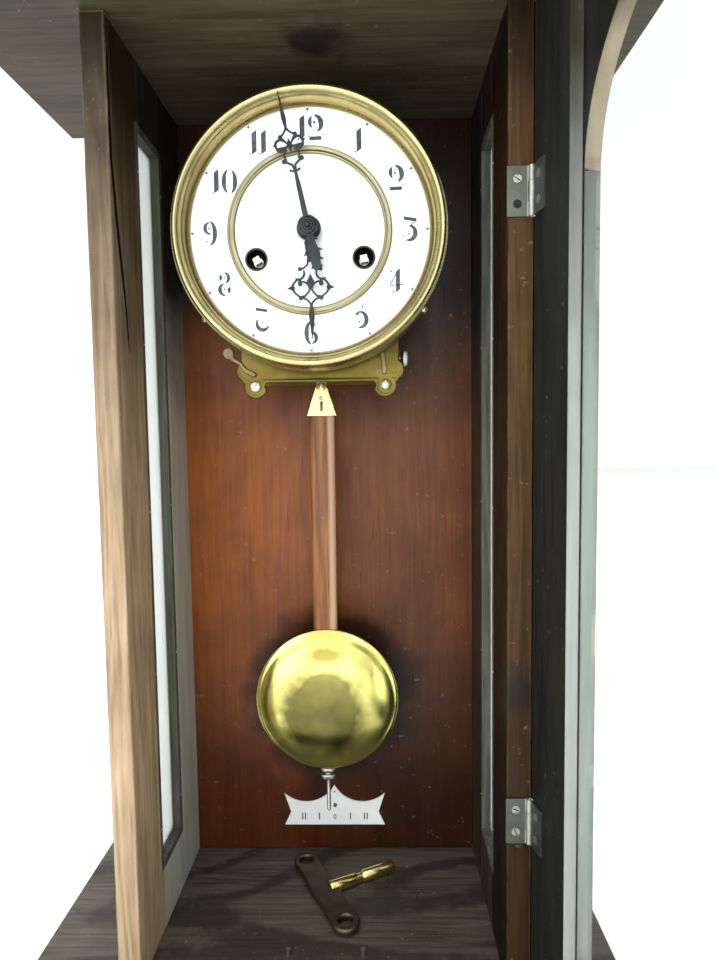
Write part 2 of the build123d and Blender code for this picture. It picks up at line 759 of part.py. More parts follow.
centre_arbor_radius = 1.5
with BuildPart() as centre_wheel:
    rod(*centre, (back_plate_depth + 0.2, minute_hand_depth + hand_sheet + 2.6), centre_arbor_radius)
    gear(centre, around(intermediate_level), large_pinion, intermediate_module,
         meshing(intermediate, intermediate_teeth, 0, centre, large_pinion), leaf_tip)
    gear(centre, centre_level, centre_teeth, centre_module, 0)
    spokes(centre, centre_level, 4.5, 16)
save(centre_wheel, "centre_wheel")

with BuildPart() as third_wheel:
    plain_arbor(third)
    gear(third, around(centre_level), small_pinion, centre_module,
         meshing(centre, centre_teeth, 0, third, small_pinion), leaf_tip)
    gear(third, third_level, third_teeth, third_module, 0)
    spokes(third, third_level, 4.5, 14.5)
save(third_wheel, "third_wheel")

with BuildPart() as escape_wheel:
    plain_arbor(escape)
    gear(escape, around(third_level), small_pinion, third_module,
         meshing(third, third_teeth, 0, escape, small_pinion), leaf_tip)
    with BuildSketch(face(escape_level[0])):
        with BuildLine():
            Polyline(*[polar(escape, escape_radius - (2.6 if point % 2 else 0),
                             radians(360 / escape_teeth) * (point // 2 + (0.18 if point % 2 else 0)))
                       for point in range(2 * escape_teeth)], close=True)
        make_face()
    extrude(amount=escape_level[1] - escape_level[0])
    spokes(escape, escape_level, 3.2, 8.2, 4)
save(escape_wheel, "escape_wheel")

# ---- anchor, crutch and suspension ---------------------------------------------------------------
anchor_inner, anchor_outer = escape_radius + 2.2, escape_radius + 4.6
cock_level = (41, 43)
crutch_level = (44, 45.2)
crutch_low = 474
crutch_pin_radius = 1.0

with BuildPart() as anchor:
    rod(*anchor_arbor, (cock_level[1] + end_shake, plate_inside[1] - end_shake), arbor_radius)
    rod(*anchor_arbor, (cock_level[0] + 0.2, front_plate_depth + plate_sheet - 0.2), pivot_radius)
    with BuildSketch(face(escape_level[0])):
        with Locations(escape):
            Circle(anchor_outer)
            Circle(anchor_inner, mode=Mode.SUBTRACT)
        with Locations((escape[0], escape[1] - anchor_outer)):
            Rectangle(3 * anchor_outer, 3 * anchor_outer + 12, mode=Mode.SUBTRACT)
        with Locations(anchor_arbor):
            Circle(3)
    extrude(amount=escape_level[1] - escape_level[0])
    block((anchor_arbor[0] - 2, anchor_arbor[0] + 2), crutch_level, (crutch_low, anchor_arbor[1]))
    rod(anchor_arbor[0], crutch_low + 2, (33, crutch_level[0]), crutch_pin_radius)
save(anchor, "anchor")

leader_level = (pendulum_depth - 0.8, pendulum_depth + 0.8)
suspension_radius = 1.5
hook_pin_height = 360

with BuildPart() as pendulum_hook:
    with BuildSketch(face(leader_level[0])):
        with Locations((pendulum_x, suspension_height)):
            Circle(4.2)
        with Locations((pendulum_x, (suspension_height + hook_pin_height) / 2)):
            Rectangle(7, suspension_height - hook_pin_height)
        with Locations((pendulum_x, hook_pin_height)):
            Circle(3.5)
        with Locations((pendulum_x, suspension_height)):
            Circle(suspension_radius + running, mode=Mode.SUBTRACT)
        with Locations(Location((pendulum_x, crutch_low + 2), 90)):
            SlotCenterToCenter(8, 2 * crutch_pin_radius + 0.7, mode=Mode.SUBTRACT)
        with Locations((pendulum_x, hook_pin_height)):
            Circle(1.3, mode=Mode.SUBTRACT)
    extrude(amount=leader_level[1] - leader_level[0])
save(pendulum_hook, "pendulum_hook")

# ---- movement plates -----------------------------------------------------------------------------
plain_spots = (intermediate, third, escape)
pillar_spots = [(centre_x + x, height) for x in (-47, 47) for height in (407, 492)]
pillar_radius = 3.5


def movement_plate(depth):
    with BuildSketch(face(depth)) as sheet:
        with Locations((centre_x, (plate_low + plate_high) / 2)):
            plate = Rectangle(2 * plate_half_width, plate_high - plate_low)
        chamfer(plate.vertices().group_by(Axis.Y)[-1], 20)
        with Locations(*plain_spots):
            Circle(pivot_radius + running, mode=Mode.SUBTRACT)
        with Locations(going, strike):
            Circle(winding_arbor_radius + running, mode=Mode.SUBTRACT)
        with Locations(centre):
            Circle(centre_arbor_radius + running, mode=Mode.SUBTRACT)
        with Locations(anchor_arbor):
            Circle(pivot_radius + running if depth > back_plate_depth else 3, mode=Mode.SUBTRACT)
    extrude(sheet.sketch, amount=plate_sheet)


with BuildPart() as front_plate:
    movement_plate(front_plate_depth)
    rod(*minute_stud, (front_plate_depth + plate_sheet, dial_depth - 0.4), arbor_radius)
save(front_plate, "front_plate")

hammer_arbor = (48, 462)
with BuildPart() as back_plate:
    movement_plate(back_plate_depth)
    with BuildSketch(face(cock_level[0])):
        with Locations(anchor_arbor):
            Rectangle(34, 10)
            Circle(pivot_radius + running, mode=Mode.SUBTRACT)
    extrude(amount=cock_level[1] - cock_level[0])
    for side in (-1, 1):
        block((anchor_arbor[0] + side * 14.5 - 2.5, anchor_arbor[0] + side * 14.5 + 2.5),
              (cock_level[1], back_plate_depth), (anchor_arbor[1] - 5, anchor_arbor[1] + 5))
    rod(*anchor_arbor, (pendulum_depth - 4, cock_level[0]), suspension_radius)
    rod(*anchor_arbor, (pendulum_depth - 5, pendulum_depth - 4), 3)
    rod(*hammer_arbor, (18, back_plate_depth), arbor_radius)
save(back_plate, "back_plate")

with BuildPart() as plate_pillars:
    for spot in pillar_spots:
        rod(*spot, plate_inside, pillar_radius)
    for spot in [polar(centre, 52, radians(angle)) for angle in (12, 168, 250, 290)]:
        rod(*spot, (front_plate_depth + plate_sheet, dial_depth), 2.5)
save(plate_pillars, "plate_pillars")

# ---- motion work and hands -----------------------------------------------------------------------
cannon_bore = centre_arbor_radius + running
cannon_radius = 2.6
pipe_bore, pipe_radius = cannon_radius + running, 4.0

with BuildPart() as cannon_pinion:
    rod(*centre, (front_plate_depth + plate_sheet + 0.3, minute_hand_depth + hand_sheet), 2.2)
    gear(centre, around(minute_level), cannon_teeth, motion_module, 0, leaf_tip)
    rod(*centre, (minute_level[1] + 0.3, minute_hand_depth), cannon_radius)
    rod(*centre, (front_plate_depth, minute_hand_depth + 5), cannon_bore, Mode.SUBTRACT)
save(cannon_pinion, "cannon_pinion")

with BuildPart() as minute_wheel:
    gear(minute_stud, minute_level, minute_teeth, motion_module,
         meshing(centre, cannon_teeth, 0, minute_stud, minute_teeth))
    gear(minute_stud, (minute_level[1], hour_level[1] + 0.5), minute_pinion_teeth, hour_module, 0, leaf_tip)
    rod(*minute_stud, (minute_level[0], hour_level[1] + 0.5), arbor_radius + running, Mode.SUBTRACT)
save(minute_wheel, "minute_wheel")

with BuildPart() as hour_wheel:
    gear(centre, hour_level, hour_teeth, hour_module,
         meshing(minute_stud, minute_pinion_teeth, 0, centre, hour_teeth))
    rod(*centre, (hour_level[1], hour_hand_depth + hand_sheet), pipe_radius)
    rod(*centre, (hour_level[0], hour_hand_depth + hand_sheet), pipe_bore, Mode.SUBTRACT)
save(hour_wheel, "hour_wheel")


def hand_plane(depth, angle):
    """Plane of a hand, with x from the centre of the dial towards its tip."""
    turn = radians(angle)
    return Plane(origin=place(centre_x, depth, centre_height), x_dir=(sin(turn), 0, cos(turn)),
                 z_dir=(0, -1, 0))


def blade(start, end, start_width, end_width):
    with BuildLine() as outline:
        Polyline((start, -start_width / 2), (end, -end_width / 2), (end, end_width / 2),
                 (start, start_width / 2), close=True)
    make_face(outline.line)


def scroll(x, y, radius, width=1.3):
    """Round wire scroll beside the blade."""
    with BuildSketch() as ring:
        with Locations((x, y)):
            Circle(radius)
            Circle(radius - width, mode=Mode.SUBTRACT)
    add(ring.sketch)


with BuildPart() as minute_hand:
    with BuildSketch(hand_plane(minute_hand_depth, minute_hand_angle)):
        blade(4, 44, 3.4, 1.8)
        blade(52, minute_reach, 2.2, 0.7)
        for side in (-1, 1):
            scroll(46, side * 4.2, 4.3)
            scroll(51, side * 2.6, 2.7)
            blade(-6, -26, 5, 1.6)
        with Locations((-16, 0)):
            Ellipse(7, 3.6)
        Circle(6.4)
        Circle(2.2 + running, mode=Mode.SUBTRACT)
    extrude(amount=hand_sheet)
save(minute_hand, "minute_hand")

with BuildPart() as hour_hand:
    with BuildSketch(hand_plane(hour_hand_depth, hour_hand_angle)):
        blade(6, 37, 3.2, 2)
        for side in (-1, 1):
            scroll(33, side * 5, 5.2)
            scroll(40, side * 3.4, 3.6)
        blade(42, hour_reach, 2.6, 0.9)
        Circle(7.6)
        Circle(pipe_radius, mode=Mode.SUBTRACT)
    extrude(amount=hand_sheet)
save(hour_hand, "hour_hand")

with BuildPart() as hand_collet:
    rod(*centre, (minute_hand_depth + hand_sheet, minute_hand_depth + hand_sheet + 1), 5)
    rod(*centre, (minute_hand_depth + hand_sheet + 1, minute_hand_depth + hand_sheet + 1.6), 3.4)
    rod(*centre, (minute_hand_depth, minute_hand_depth + 5), cannon_bore, Mode.SUBTRACT)
save(hand_collet, "hand_collet")

# ---- dial ----------------------------------------------------------------------------------------
dial_front = dial_depth + dial_sheet
with BuildPart() as dial_plate:
    with BuildSketch(face(dial_depth)):
        with Locations(centre):
            Circle(dial_radius - running)
            Circle(5.5, mode=Mode.SUBTRACT)
        with Locations(going, strike):
            Circle(winding_hole, mode=Mode.SUBTRACT)
    extrude(amount=dial_sheet)
save(dial_plate, "dial_plate")

with BuildPart() as dial_grommets:
    for spot in (going, strike):
        rod(*spot, (dial_depth - 0.4, dial_front + 0.4), winding_hole)
        rod(*spot, (dial_front, dial_front + 0.4), winding_hole + 0.5)
        rod(*spot, (dial_depth - 0.4, dial_front + 0.4), winding_hole - 0.5, Mode.SUBTRACT)
save(dial_grommets, "dial_grommets")

dial_axis = Axis(place(centre_x, 0, centre_height), (0, -1, 0))


def section_plane():
    """Plane through the dial's axis, with x outwards along the radius and y forwards."""
    return Plane(origin=place(centre_x, 0, centre_height), x_dir=(1, 0, 0), z_dir=(0, 0, 1))


def turned(points):
    """Solid of revolution about the dial's axis from a (radius, depth) outline."""
    with BuildSketch(section_plane()) as outline:
        with BuildLine():
            Polyline(*[(radius, -depth) for radius, depth in points], close=True)
        make_face()
    revolve(outline.sketch, axis=dial_axis)


with BuildPart() as dial_inner_ring:
    turned([(ring_inner, dial_front), (ring_inner, dial_front + 0.8), (ring_inner + 1.2, dial_front + 2.0),
            (ring_outer - 1.4, dial_front + 2.0), (ring_outer, dial_front + 0.8), (ring_outer, dial_front)])
save(dial_inner_ring, "dial_inner_ring")

with BuildPart() as dial_bezel:
    turned([(bezel_inner, dial_front), (bezel_inner, dial_front + 1.5), (bezel_inner + 2.2, 94.5),
            (bezel_inner + 3.2, 94.5), (bezel_inner + 4.4, 98.6), (bezel_inner + 6.4, bezel_front),
            (bezel_inner + 8.4, 98.8), (bezel_inner + 9.2, 96.4), (bezel_outer - 0.6, 96), (bezel_outer, 95),
            (bezel_outer, bezel_rear), (bezel_outer - 1.2, bezel_rear), (bezel_outer - 1.2, dial_depth),
            (dial_radius, dial_depth), (dial_radius, dial_front)])
    for angle in (-143, -34):
        spot = polar(centre, bezel_outer + 0.7, radians(angle))
        rod(*spot, (bezel_rear, bezel_rear + 9), 2)
save(dial_bezel, "dial_bezel")

# ---- gong and hammer -----------------------------------------------------------------------------
gong_wire = 1.5
gong_depth = 12
gong_radius, gong_pitch, gong_half_turns = 50, 6, 7

with BuildPart() as gong_coil:
    top = (centre_x, centre_height + gong_radius)
    with BuildLine(face(gong_depth)) as spiral:
        start, heading, reach = top, 1, gong_radius
        for half_turn in range(gong_half_turns):
            end = (start[0], start[1] - heading * 2 * reach)
            bulge = (start[0] + heading * reach, (start[1] + end[1]) / 2)
            ThreePointArc(start, bulge, end)
            start, heading, reach = end, -heading, reach - gong_pitch / 2
    with BuildSketch(Plane(origin=place(top[0], gong_depth, top[1]), z_dir=(1, 0, 0))):
        Circle(gong_wire)
    sweep(path=spiral.wires()[0])
save(gong_coil, "gong_coil")

with BuildPart() as gong_block:
    block((centre_x - 12, centre_x), (0, gong_depth + 6),
          (centre_height + gong_radius - 3, centre_height + gong_radius + 9))
    with Locations(Plane(origin=place(centre_x, gong_depth, centre_height + gong_radius),
                         z_dir=(-1, 0, 0)).location):
        Cylinder(gong_wire, 6, align=upright, mode=Mode.SUBTRACT)
save(gong_block, "gong_block")

hammer_head = polar(centre, gong_radius + gong_wire + 6.5, radians(-40))
with BuildPart() as hammer:
    middle = ((hammer_head[0] + hammer_arbor[0]) / 2, (hammer_head[1] + hammer_arbor[1]) / 2)
    with BuildSketch(face(19)):
        with Locations(Location(middle, bearing(hammer_head, hammer_arbor))):
            SlotCenterToCenter(hypot(hammer_head[0] - hammer_arbor[0], hammer_head[1] - hammer_arbor[1]), 5)
        with Locations(hammer_arbor):
            Circle(arbor_radius + running, mode=Mode.SUBTRACT)
    extrude(amount=1.5)
    rod(*hammer_head, (7, 19), 5)
save(hammer, "hammer")

# ---- pendulum ------------------------------------------------------------------------------------
with BuildPart() as pendulum_cap:
    for depth in (pendulum_depth - rod_thickness / 2 - cap_sheet, pendulum_depth + rod_thickness / 2):
        left, right = pendulum_x - cap_half_top, pendulum_x + cap_half_top
        spring_line = cap_top - cap_half_top
        with BuildSketch(face(depth)):
            with BuildLine():
                Polyline((left, spring_line), (pendulum_x - cap_half_bottom, cap_bottom),
                         (pendulum_x + cap_half_bottom, cap_bottom), (right, spring_line))
                ThreePointArc((right, spring_line), (pendulum_x, cap_top), (left, spring_line))
            make_face()
            with Locations((pendulum_x, cap_hole_height)):
                Circle(cap_hole_radius, mode=Mode.SUBTRACT)
            with Locations((pendulum_x, cap_slot_height)):
                Rectangle(cap_slot_width, cap_slot_length, mode=Mode.SUBTRACT)
        extrude(amount=cap_sheet)
    rod(pendulum_x, hook_pin_height,
        (pendulum_depth - rod_thickness / 2, pendulum_depth + rod_thickness / 2), hook_pin_radius)
save(pendulum_cap, "pendulum_cap")

with BuildPart() as pendulum_rod:
    for height, width in ((rod_top, rod_top_width), (rod_bottom, rod_bottom_width)):
        with BuildSketch(Plane(origin=place(pendulum_x, pendulum_depth, height), z_dir=(0, 0, 1))):
            RectangleRounded(width, rod_thickness, rod_corner)
    loft()
    with Locations(place(pendulum_x, pendulum_depth, rod_bottom)):
        Cylinder(rating_radius, rating_bite, align=upright, mode=Mode.SUBTRACT)
save(pendulum_rod, "pendulum_rod")

bob_point = (pendulum_x + 0.4, bob_height)
with BuildPart() as pendulum_bob:
    bob_origin = place(bob_point[0], bob_depth, bob_point[1])
    section = Plane(origin=bob_origin, x_dir=(1, 0, 0), z_dir=(0, 0, 1))
    half = bob_thickness / 2
    dome = (bob_radius**2 + (half - bob_rim) ** 2) / (2 * (half - bob_rim))
    shoulder = (bob_radius / 2, half - dome + (dome**2 - bob_radius**2 / 4) ** 0.5)
    with BuildSketch(section):
        with BuildLine():
            ThreePointArc((0, half), shoulder, (bob_radius, bob_rim))
            Line((bob_radius, bob_rim), (bob_radius, -bob_rim))
            ThreePointArc((bob_radius, -bob_rim), (shoulder[0], -shoulder[1]), (0, -half))
            Line((0, -half), (0, half))
        make_face()
    revolve(axis=Axis(bob_origin, (0, -1, 0)))
    rod_room = (rod_top_width - 3 * rod_slack) / 2
    block((pendulum_x - rod_room, pendulum_x + rod_room),
          (pendulum_depth - rod_thickness / 2 - rod_slack, pendulum_depth + rod_thickness / 2 + rod_slack),
          (rod_bottom, bob_height + bob_radius + 4), Mode.SUBTRACT)
    with Locations(place(pendulum_x, pendulum_depth, rod_bottom)):
        Cylinder(rating_radius + rod_slack, 2 * rating_bite, mode=Mode.SUBTRACT)
save(pendulum_bob, "pendulum_bob")

with BuildPart() as rating_screw:
    with Locations(place(pendulum_x, pendulum_depth, rating_tip + rating_point)):
        Cylinder(rating_radius, rod_bottom + rating_bite - rating_tip - rating_point, align=upright)
    with Locations(place(pendulum_x, pendulum_depth, rating_tip)):
        Cone(rating_radius / 4, rating_radius, rating_point, align=upright)
save(rating_screw, "rating_screw")

with BuildPart() as rating_nut:
    for drop, tall, radius in nut_rings:
        with Locations(place(pendulum_x, pendulum_depth, nut_top - drop)):
            Cylinder(radius, tall, align=upright)
    with Locations(place(pendulum_x, pendulum_depth, nut_top)):
        Cylinder(rating_radius + running, 30, mode=Mode.SUBTRACT)
save(rating_nut, "rating_nut")

# ---- winding key lying on the floor --------------------------------------------------------------
key_middle = (-4.5, 53)
key_turn = -62                     # direction of the wings, in the floor plane
key_lift = 0.3
key_half, ear_radius, ear_bore = 35, 9, 5.2
wing_neck, wing_middle = 5, 9      # half widths of the wing beside an ear and at the shaft
wing_sheet = 3.0
stem_radius, stem_length = 2.6, 24
collar_radius, collar_start, collar_length = 3.4, 12, 20
shaft_radius, shaft_start, shaft_length = 4.2, 32, 24
socket_start, socket_depth = 42, 14
key_plane = Plane(origin=place(key_middle[0], key_middle[1], key_lift), x_dir=(cos(radians(key_turn)),
                  sin(radians(key_turn)), 0), z_dir=(0, 0, 1))

key_axis = key_plane.offset(shaft_radius).location * Location((0, 0, 0), (-90, 0, 0))

with BuildPart() as key_wing:
    with BuildSketch(key_plane.offset(shaft_radius - wing_sheet / 2)):
        with Locations((-key_half, 0), (key_half, 0)):
            Circle(ear_radius)
        with BuildLine():
            Polyline((-key_half, -wing_neck), (0, -wing_middle), (key_half, -wing_neck),
                     (key_half, wing_neck), (0, wing_middle), (-key_half, wing_neck), close=True)
        make_face()
        with Locations((-key_half, 0), (key_half, 0)):
            Circle(ear_bore, mode=Mode.SUBTRACT)
    extrude(amount=wing_sheet)
    with Locations(key_axis):
        Cylinder(stem_radius + touch / 2, stem_length, align=upright, mode=Mode.SUBTRACT)
save(key_wing, "key_wing")

with BuildPart() as key_shaft:
    for start, length, radius in ((0, stem_length, stem_radius),
                                  (collar_start, collar_length, collar_radius),
                                  (shaft_start, shaft_length, shaft_radius)):
        with Locations(key_axis * Location((0, 0, start))):
            Cylinder(radius, length, align=upright)
    with Locations(key_axis * Location((0, 0, socket_start))):
        Box(winding_square, winding_square, socket_depth, align=upright, mode=Mode.SUBTRACT)
save(key_shaft, "key_shaft")
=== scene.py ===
"""Looks of the pendulum wall clock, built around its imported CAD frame.

Metres, X to the right, Y into the wall, Z up, with the origin at the hanger hole.
"""

from math import cos, hypot, pi, radians, sin

import bmesh
import bpy
import numpy as np
from mathutils import Matrix, Vector, noise


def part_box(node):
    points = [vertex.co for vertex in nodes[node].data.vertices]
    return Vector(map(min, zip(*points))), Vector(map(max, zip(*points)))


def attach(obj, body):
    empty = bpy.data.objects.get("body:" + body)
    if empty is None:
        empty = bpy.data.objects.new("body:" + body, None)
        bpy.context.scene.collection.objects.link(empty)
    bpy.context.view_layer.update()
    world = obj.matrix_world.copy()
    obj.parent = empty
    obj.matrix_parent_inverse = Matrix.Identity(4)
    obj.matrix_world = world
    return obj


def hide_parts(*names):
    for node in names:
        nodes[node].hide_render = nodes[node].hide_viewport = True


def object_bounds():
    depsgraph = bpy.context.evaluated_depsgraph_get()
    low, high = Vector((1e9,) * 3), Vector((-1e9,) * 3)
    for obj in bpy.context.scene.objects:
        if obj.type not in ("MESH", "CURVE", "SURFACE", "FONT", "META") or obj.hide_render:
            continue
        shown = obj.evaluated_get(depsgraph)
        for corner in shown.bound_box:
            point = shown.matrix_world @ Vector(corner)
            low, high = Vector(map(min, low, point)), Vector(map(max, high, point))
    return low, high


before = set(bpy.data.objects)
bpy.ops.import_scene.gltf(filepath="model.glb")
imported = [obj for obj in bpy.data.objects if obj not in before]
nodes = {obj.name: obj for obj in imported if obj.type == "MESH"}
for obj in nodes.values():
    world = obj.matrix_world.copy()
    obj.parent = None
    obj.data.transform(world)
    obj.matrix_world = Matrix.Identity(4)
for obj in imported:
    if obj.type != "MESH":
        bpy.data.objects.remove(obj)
cad_low, cad_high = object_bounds()
MM = 0.001

X, Y, Z = Vector((1, 0, 0)), Vector((0, 1, 0)), Vector((0, 0, 1))
TOWARDS_ROOM = -Y


def placed(name, data):
    """A new object in the scene with the data given."""
    thing = bpy.data.objects.new(name, data)
    bpy.context.scene.collection.objects.link(thing)
    return thing


def middle(node):
    low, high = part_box(node)
    return (low + high) / 2


# ---- shader helpers ----
class Shader:
    """One material's node tree, with a short call for each kind of node that the recipes share."""

    def __init__(self, name):
        self.material = bpy.data.materials.new(name)
        self.material.use_nodes = True
        self.tree = self.material.node_tree
        self.surface = self.tree.nodes["Principled BSDF"]
        self.place = self.tree.nodes.new("ShaderNodeTexCoord").outputs["Object"]

    def feed(self, socket, value):
        if isinstance(value, bpy.types.NodeSocket):
            self.tree.links.new(value, socket)
        else:
            socket.default_value = value

    def set(self, **values):
        """Sets the surface's own sockets; spaces in their names are written as underscores."""
        for name, value in values.items():
            self.feed(self.surface.inputs[name.replace("_", " ")], value)

    def add(self, kind, output, inputs=(), **settings):
        node = self.tree.nodes.new(kind)
        for name, value in settings.items():
            setattr(node, name, value)
        for name, value in dict(inputs).items():
            self.feed(node.inputs[name], value)
        return node.outputs[output]

    def mapping(self, scale, location=(0, 0, 0)):
        inputs = {"Vector": self.place, "Scale": scale, "Location": location}
        return self.add("ShaderNodeMapping", "Vector", inputs)

    def noise(self, scale, detail=4, rough=0.55, warp=0.0, vector=None):
        inputs = {"Vector": vector or self.place, "Scale": scale, "Detail": detail,
                  "Roughness": rough, "Distortion": warp}
        return self.add("ShaderNodeTexNoise", 0, inputs)

    def remap(self, value, low, high, new_low=0.0, new_high=1.0):
        inputs = {0: value, 1: low, 2: high, 3: new_low, 4: new_high}
        return self.add("ShaderNodeMapRange", 0, inputs)

    def mix(self, share, first, second, blend="MIX"):
        node = self.tree.nodes.new("ShaderNodeMix")
        node.data_type, node.blend_type = "RGBA", blend
        for index, value in ((0, share), (6, first), (7, second)):
            if not isinstance(value, bpy.types.NodeSocket) and index:
                value = (*value[:3], 1.0)
            self.feed(node.inputs[index], value)
        return node.outputs[2]

    def wash(self, share, colour, tone):
        """The colour multiplied by a tone, over a share of the surface."""
        return self.mix(share, colour, self.mix(1.0, colour, tone, "MULTIPLY"))

    def calc(self, operation, first, second=0.0):
        return self.add("ShaderNodeMath", 0, {0: first, 1: second}, operation=operation)

    def ragged(self, value, spread, scale, detail=3, vector=None):
        """A measure made uneven by noise, by up to the spread either way."""
        wander = self.remap(self.noise(scale, detail, vector=vector), 0.3, 0.7, -spread, spread)
        return self.calc("ADD", value, wander)

    def axis(self, name):
        return self.add("ShaderNodeSeparateXYZ", name, {0: self.place})

    def reach(self, first, start, second, finish):
        """Distance from a line square to two axes."""
        across = self.calc("SUBTRACT", self.axis(first), start)
        along = self.calc("SUBTRACT", self.axis(second), finish)
        squares = [self.calc("MULTIPLY", part, part) for part in (across, along)]
        return self.calc("SQRT", self.calc("ADD", *squares))

    def away(self, point, place=None):
        """Distance from a point."""
        return self.add("ShaderNodeVectorMath", "Value", {0: place or self.place, 1: point},
                        operation="DISTANCE")

    def facing(self, direction):
        """1 on faces that look in a direction, 0 on faces square to it."""
        normal = self.add("ShaderNodeTexCoord", "Normal")
        return self.add("ShaderNodeVectorMath", "Value", {0: normal, 1: tuple(direction)},
                        operation="DOT_PRODUCT")

    def edges(self, radius):
        """1 on edges that stand proud within the radius, 0 on flat faces."""
        rounded = self.add("ShaderNodeBevel", 0, {"Radius": radius}, samples=4)
        flat = self.add("ShaderNodeNewGeometry", "Normal")
        same = self.add("ShaderNodeVectorMath", "Value", {0: rounded, 1: flat}, operation="DOT_PRODUCT")
        return self.remap(same, 0.995, 0.86)

    def bump(self, height, distance, strength=1.0, under=None):
        inputs = {"Height": height, "Distance": distance, "Strength": strength}
        if under is not None:
            inputs["Normal"] = under
        return self.add("ShaderNodeBump", 0, inputs)


# ---- material recipes ----
FIBRE_SCALE = 0.06               # of a fibre pattern along the grain, against 1 across it
BRUSHING = (900.0, 900.0, 60.0)
NO_TINT = (1, 1, 1)


def grained(grain, across, along):
    """Scale of a pattern that is drawn out along the grain."""
    scale = [across] * 3
    scale["XYZ".index(grain)] = along
    return scale


def wood(name, light, dark, grain, rough=0.45, cloud=0.5, worn=None, wear=0.0, rings=0.25, swirl=0.0,
         tint=None, scuff=0.15, gloss=0.25, contrast=0.15):
    """Timber: growth rings, fibres, open pores, cloudy stain, rubbed edges and uneven varnish.

    swirl is the share of looping contour figure; tint is a function that takes the shader and its colour
    and returns the colour with local marks, painted shade among them.
    """
    s = Shader(name)
    lined = s.mapping(grained(grain, 1.0, FIBRE_SCALE), (0.31, 0.17, 0.23))
    broad = s.noise(46, 3, 0.5, 1.0, lined)
    growth = s.add("ShaderNodeTexWave", "Fac",
                   {"Vector": lined, "Scale": 34.0, "Distortion": 26.0, "Detail": 3.0, "Detail Scale": 1.2,
                    "Detail Roughness": 0.6},
                   wave_type="RINGS", rings_direction=grain, wave_profile="SIN")
    fibres = s.noise(330, 6, 0.62, 0.4, lined)
    parts = (s.calc("MULTIPLY", growth, rings), s.calc("MULTIPLY", fibres, 0.62),
             s.calc("MULTIPLY", broad, 0.38 - rings * 0.6))
    grain_mix = s.calc("ADD", s.calc("ADD", parts[0], parts[1]), parts[2])
    colour = s.mix(s.remap(grain_mix, 0.51 - contrast, 0.51 + contrast), dark, light)
    if swirl:
        field = s.noise(8, 2, 0.45, 0.6, s.mapping(grained(grain, 1.0, 0.42), (0.07, 0.41, 0.12)))
        loops = s.calc("SINE", s.calc("MULTIPLY", field, 34.0))
        band = s.remap(s.ragged(loops, 0.35, 90, 4), 0.15, 0.85)
        colour = s.mix(s.calc("MULTIPLY", band, swirl), colour, [c * 0.55 for c in dark])
    clouds = s.noise(9, 4, 0.6, 0.8)
    colour = s.wash(s.calc("MULTIPLY", s.remap(clouds, 0.35, 0.68), cloud), colour, (0.42, 0.36, 0.33))
    pores = s.remap(s.noise(1.0, 2, vector=s.mapping(grained(grain, 900.0, 26.0))), 0.66, 0.72)
    colour = s.mix(s.calc("MULTIPLY", pores, 0.55), colour, [c * 0.3 for c in dark])
    if tint:
        colour = tint(s, colour)
    if worn is not None:
        rub = s.calc("MULTIPLY", s.edges(0.0016), s.remap(s.noise(60, 5), 0.38, 0.62, 0.15, 1.0))
        colour = s.mix(s.calc("MULTIPLY", rub, wear), colour, worn)
    dust = s.remap(s.noise(240, 3), 0.67, 0.75)
    colour = s.mix(s.calc("MULTIPLY", dust, scuff), colour, (0.45, 0.42, 0.37))
    s.set(Base_Color=colour,
          Roughness=s.remap(s.calc("ADD", s.calc("MULTIPLY", broad, 0.5), s.calc("MULTIPLY", clouds, 0.5)),
                            0.3, 0.7, rough - 0.1, rough + 0.16),
          Coat_Weight=0.05, Coat_Roughness=0.3, Specular_IOR_Level=gloss)
    relief = s.calc("SUBTRACT", s.calc("MULTIPLY", fibres, 0.6), s.calc("MULTIPLY", pores, 0.5))
    s.set(Normal=s.bump(relief, 0.0003, 0.6, s.bump(clouds, 0.0012, 0.35)))
    return s.material


def metal(name, bright, dull, rough, spots=0.4, scratch=0.25, edge=0.5, tint=None):
    """Sheet or turned metal: tarnish clouds, stains, fine brushing, scratches and rubbed edges."""
    s = Shader(name)
    clouds = s.noise(38, 5, 0.6, 1.2)
    fine = s.noise(420, 4, 0.6)
    colour = s.mix(s.calc("MULTIPLY", s.remap(clouds, 0.4, 0.7), spots), bright, dull)
    stains = s.remap(s.noise(170, 6, 0.65, 0.6), 0.62, 0.70)
    colour = s.mix(s.calc("MULTIPLY", stains, spots * 0.7), colour, [c * 0.45 for c in dull])
    colour = s.mix(s.calc("MULTIPLY", s.edges(0.0007), edge), colour, [min(1.0, c * 1.12) for c in bright])
    if tint:
        colour = tint(s, colour)
    lines = s.noise(1.0, 3, 0.6, vector=s.mapping(BRUSHING))
    s.set(Base_Color=colour, Metallic=1.0,
          Roughness=s.calc("ADD", s.remap(clouds, 0.3, 0.7, rough, rough + 0.12),
                           s.calc("MULTIPLY", fine, 0.06)),
          Normal=s.bump(lines, 0.00004, scratch, s.bump(clouds, 0.0005, 0.12)))
    return s.material


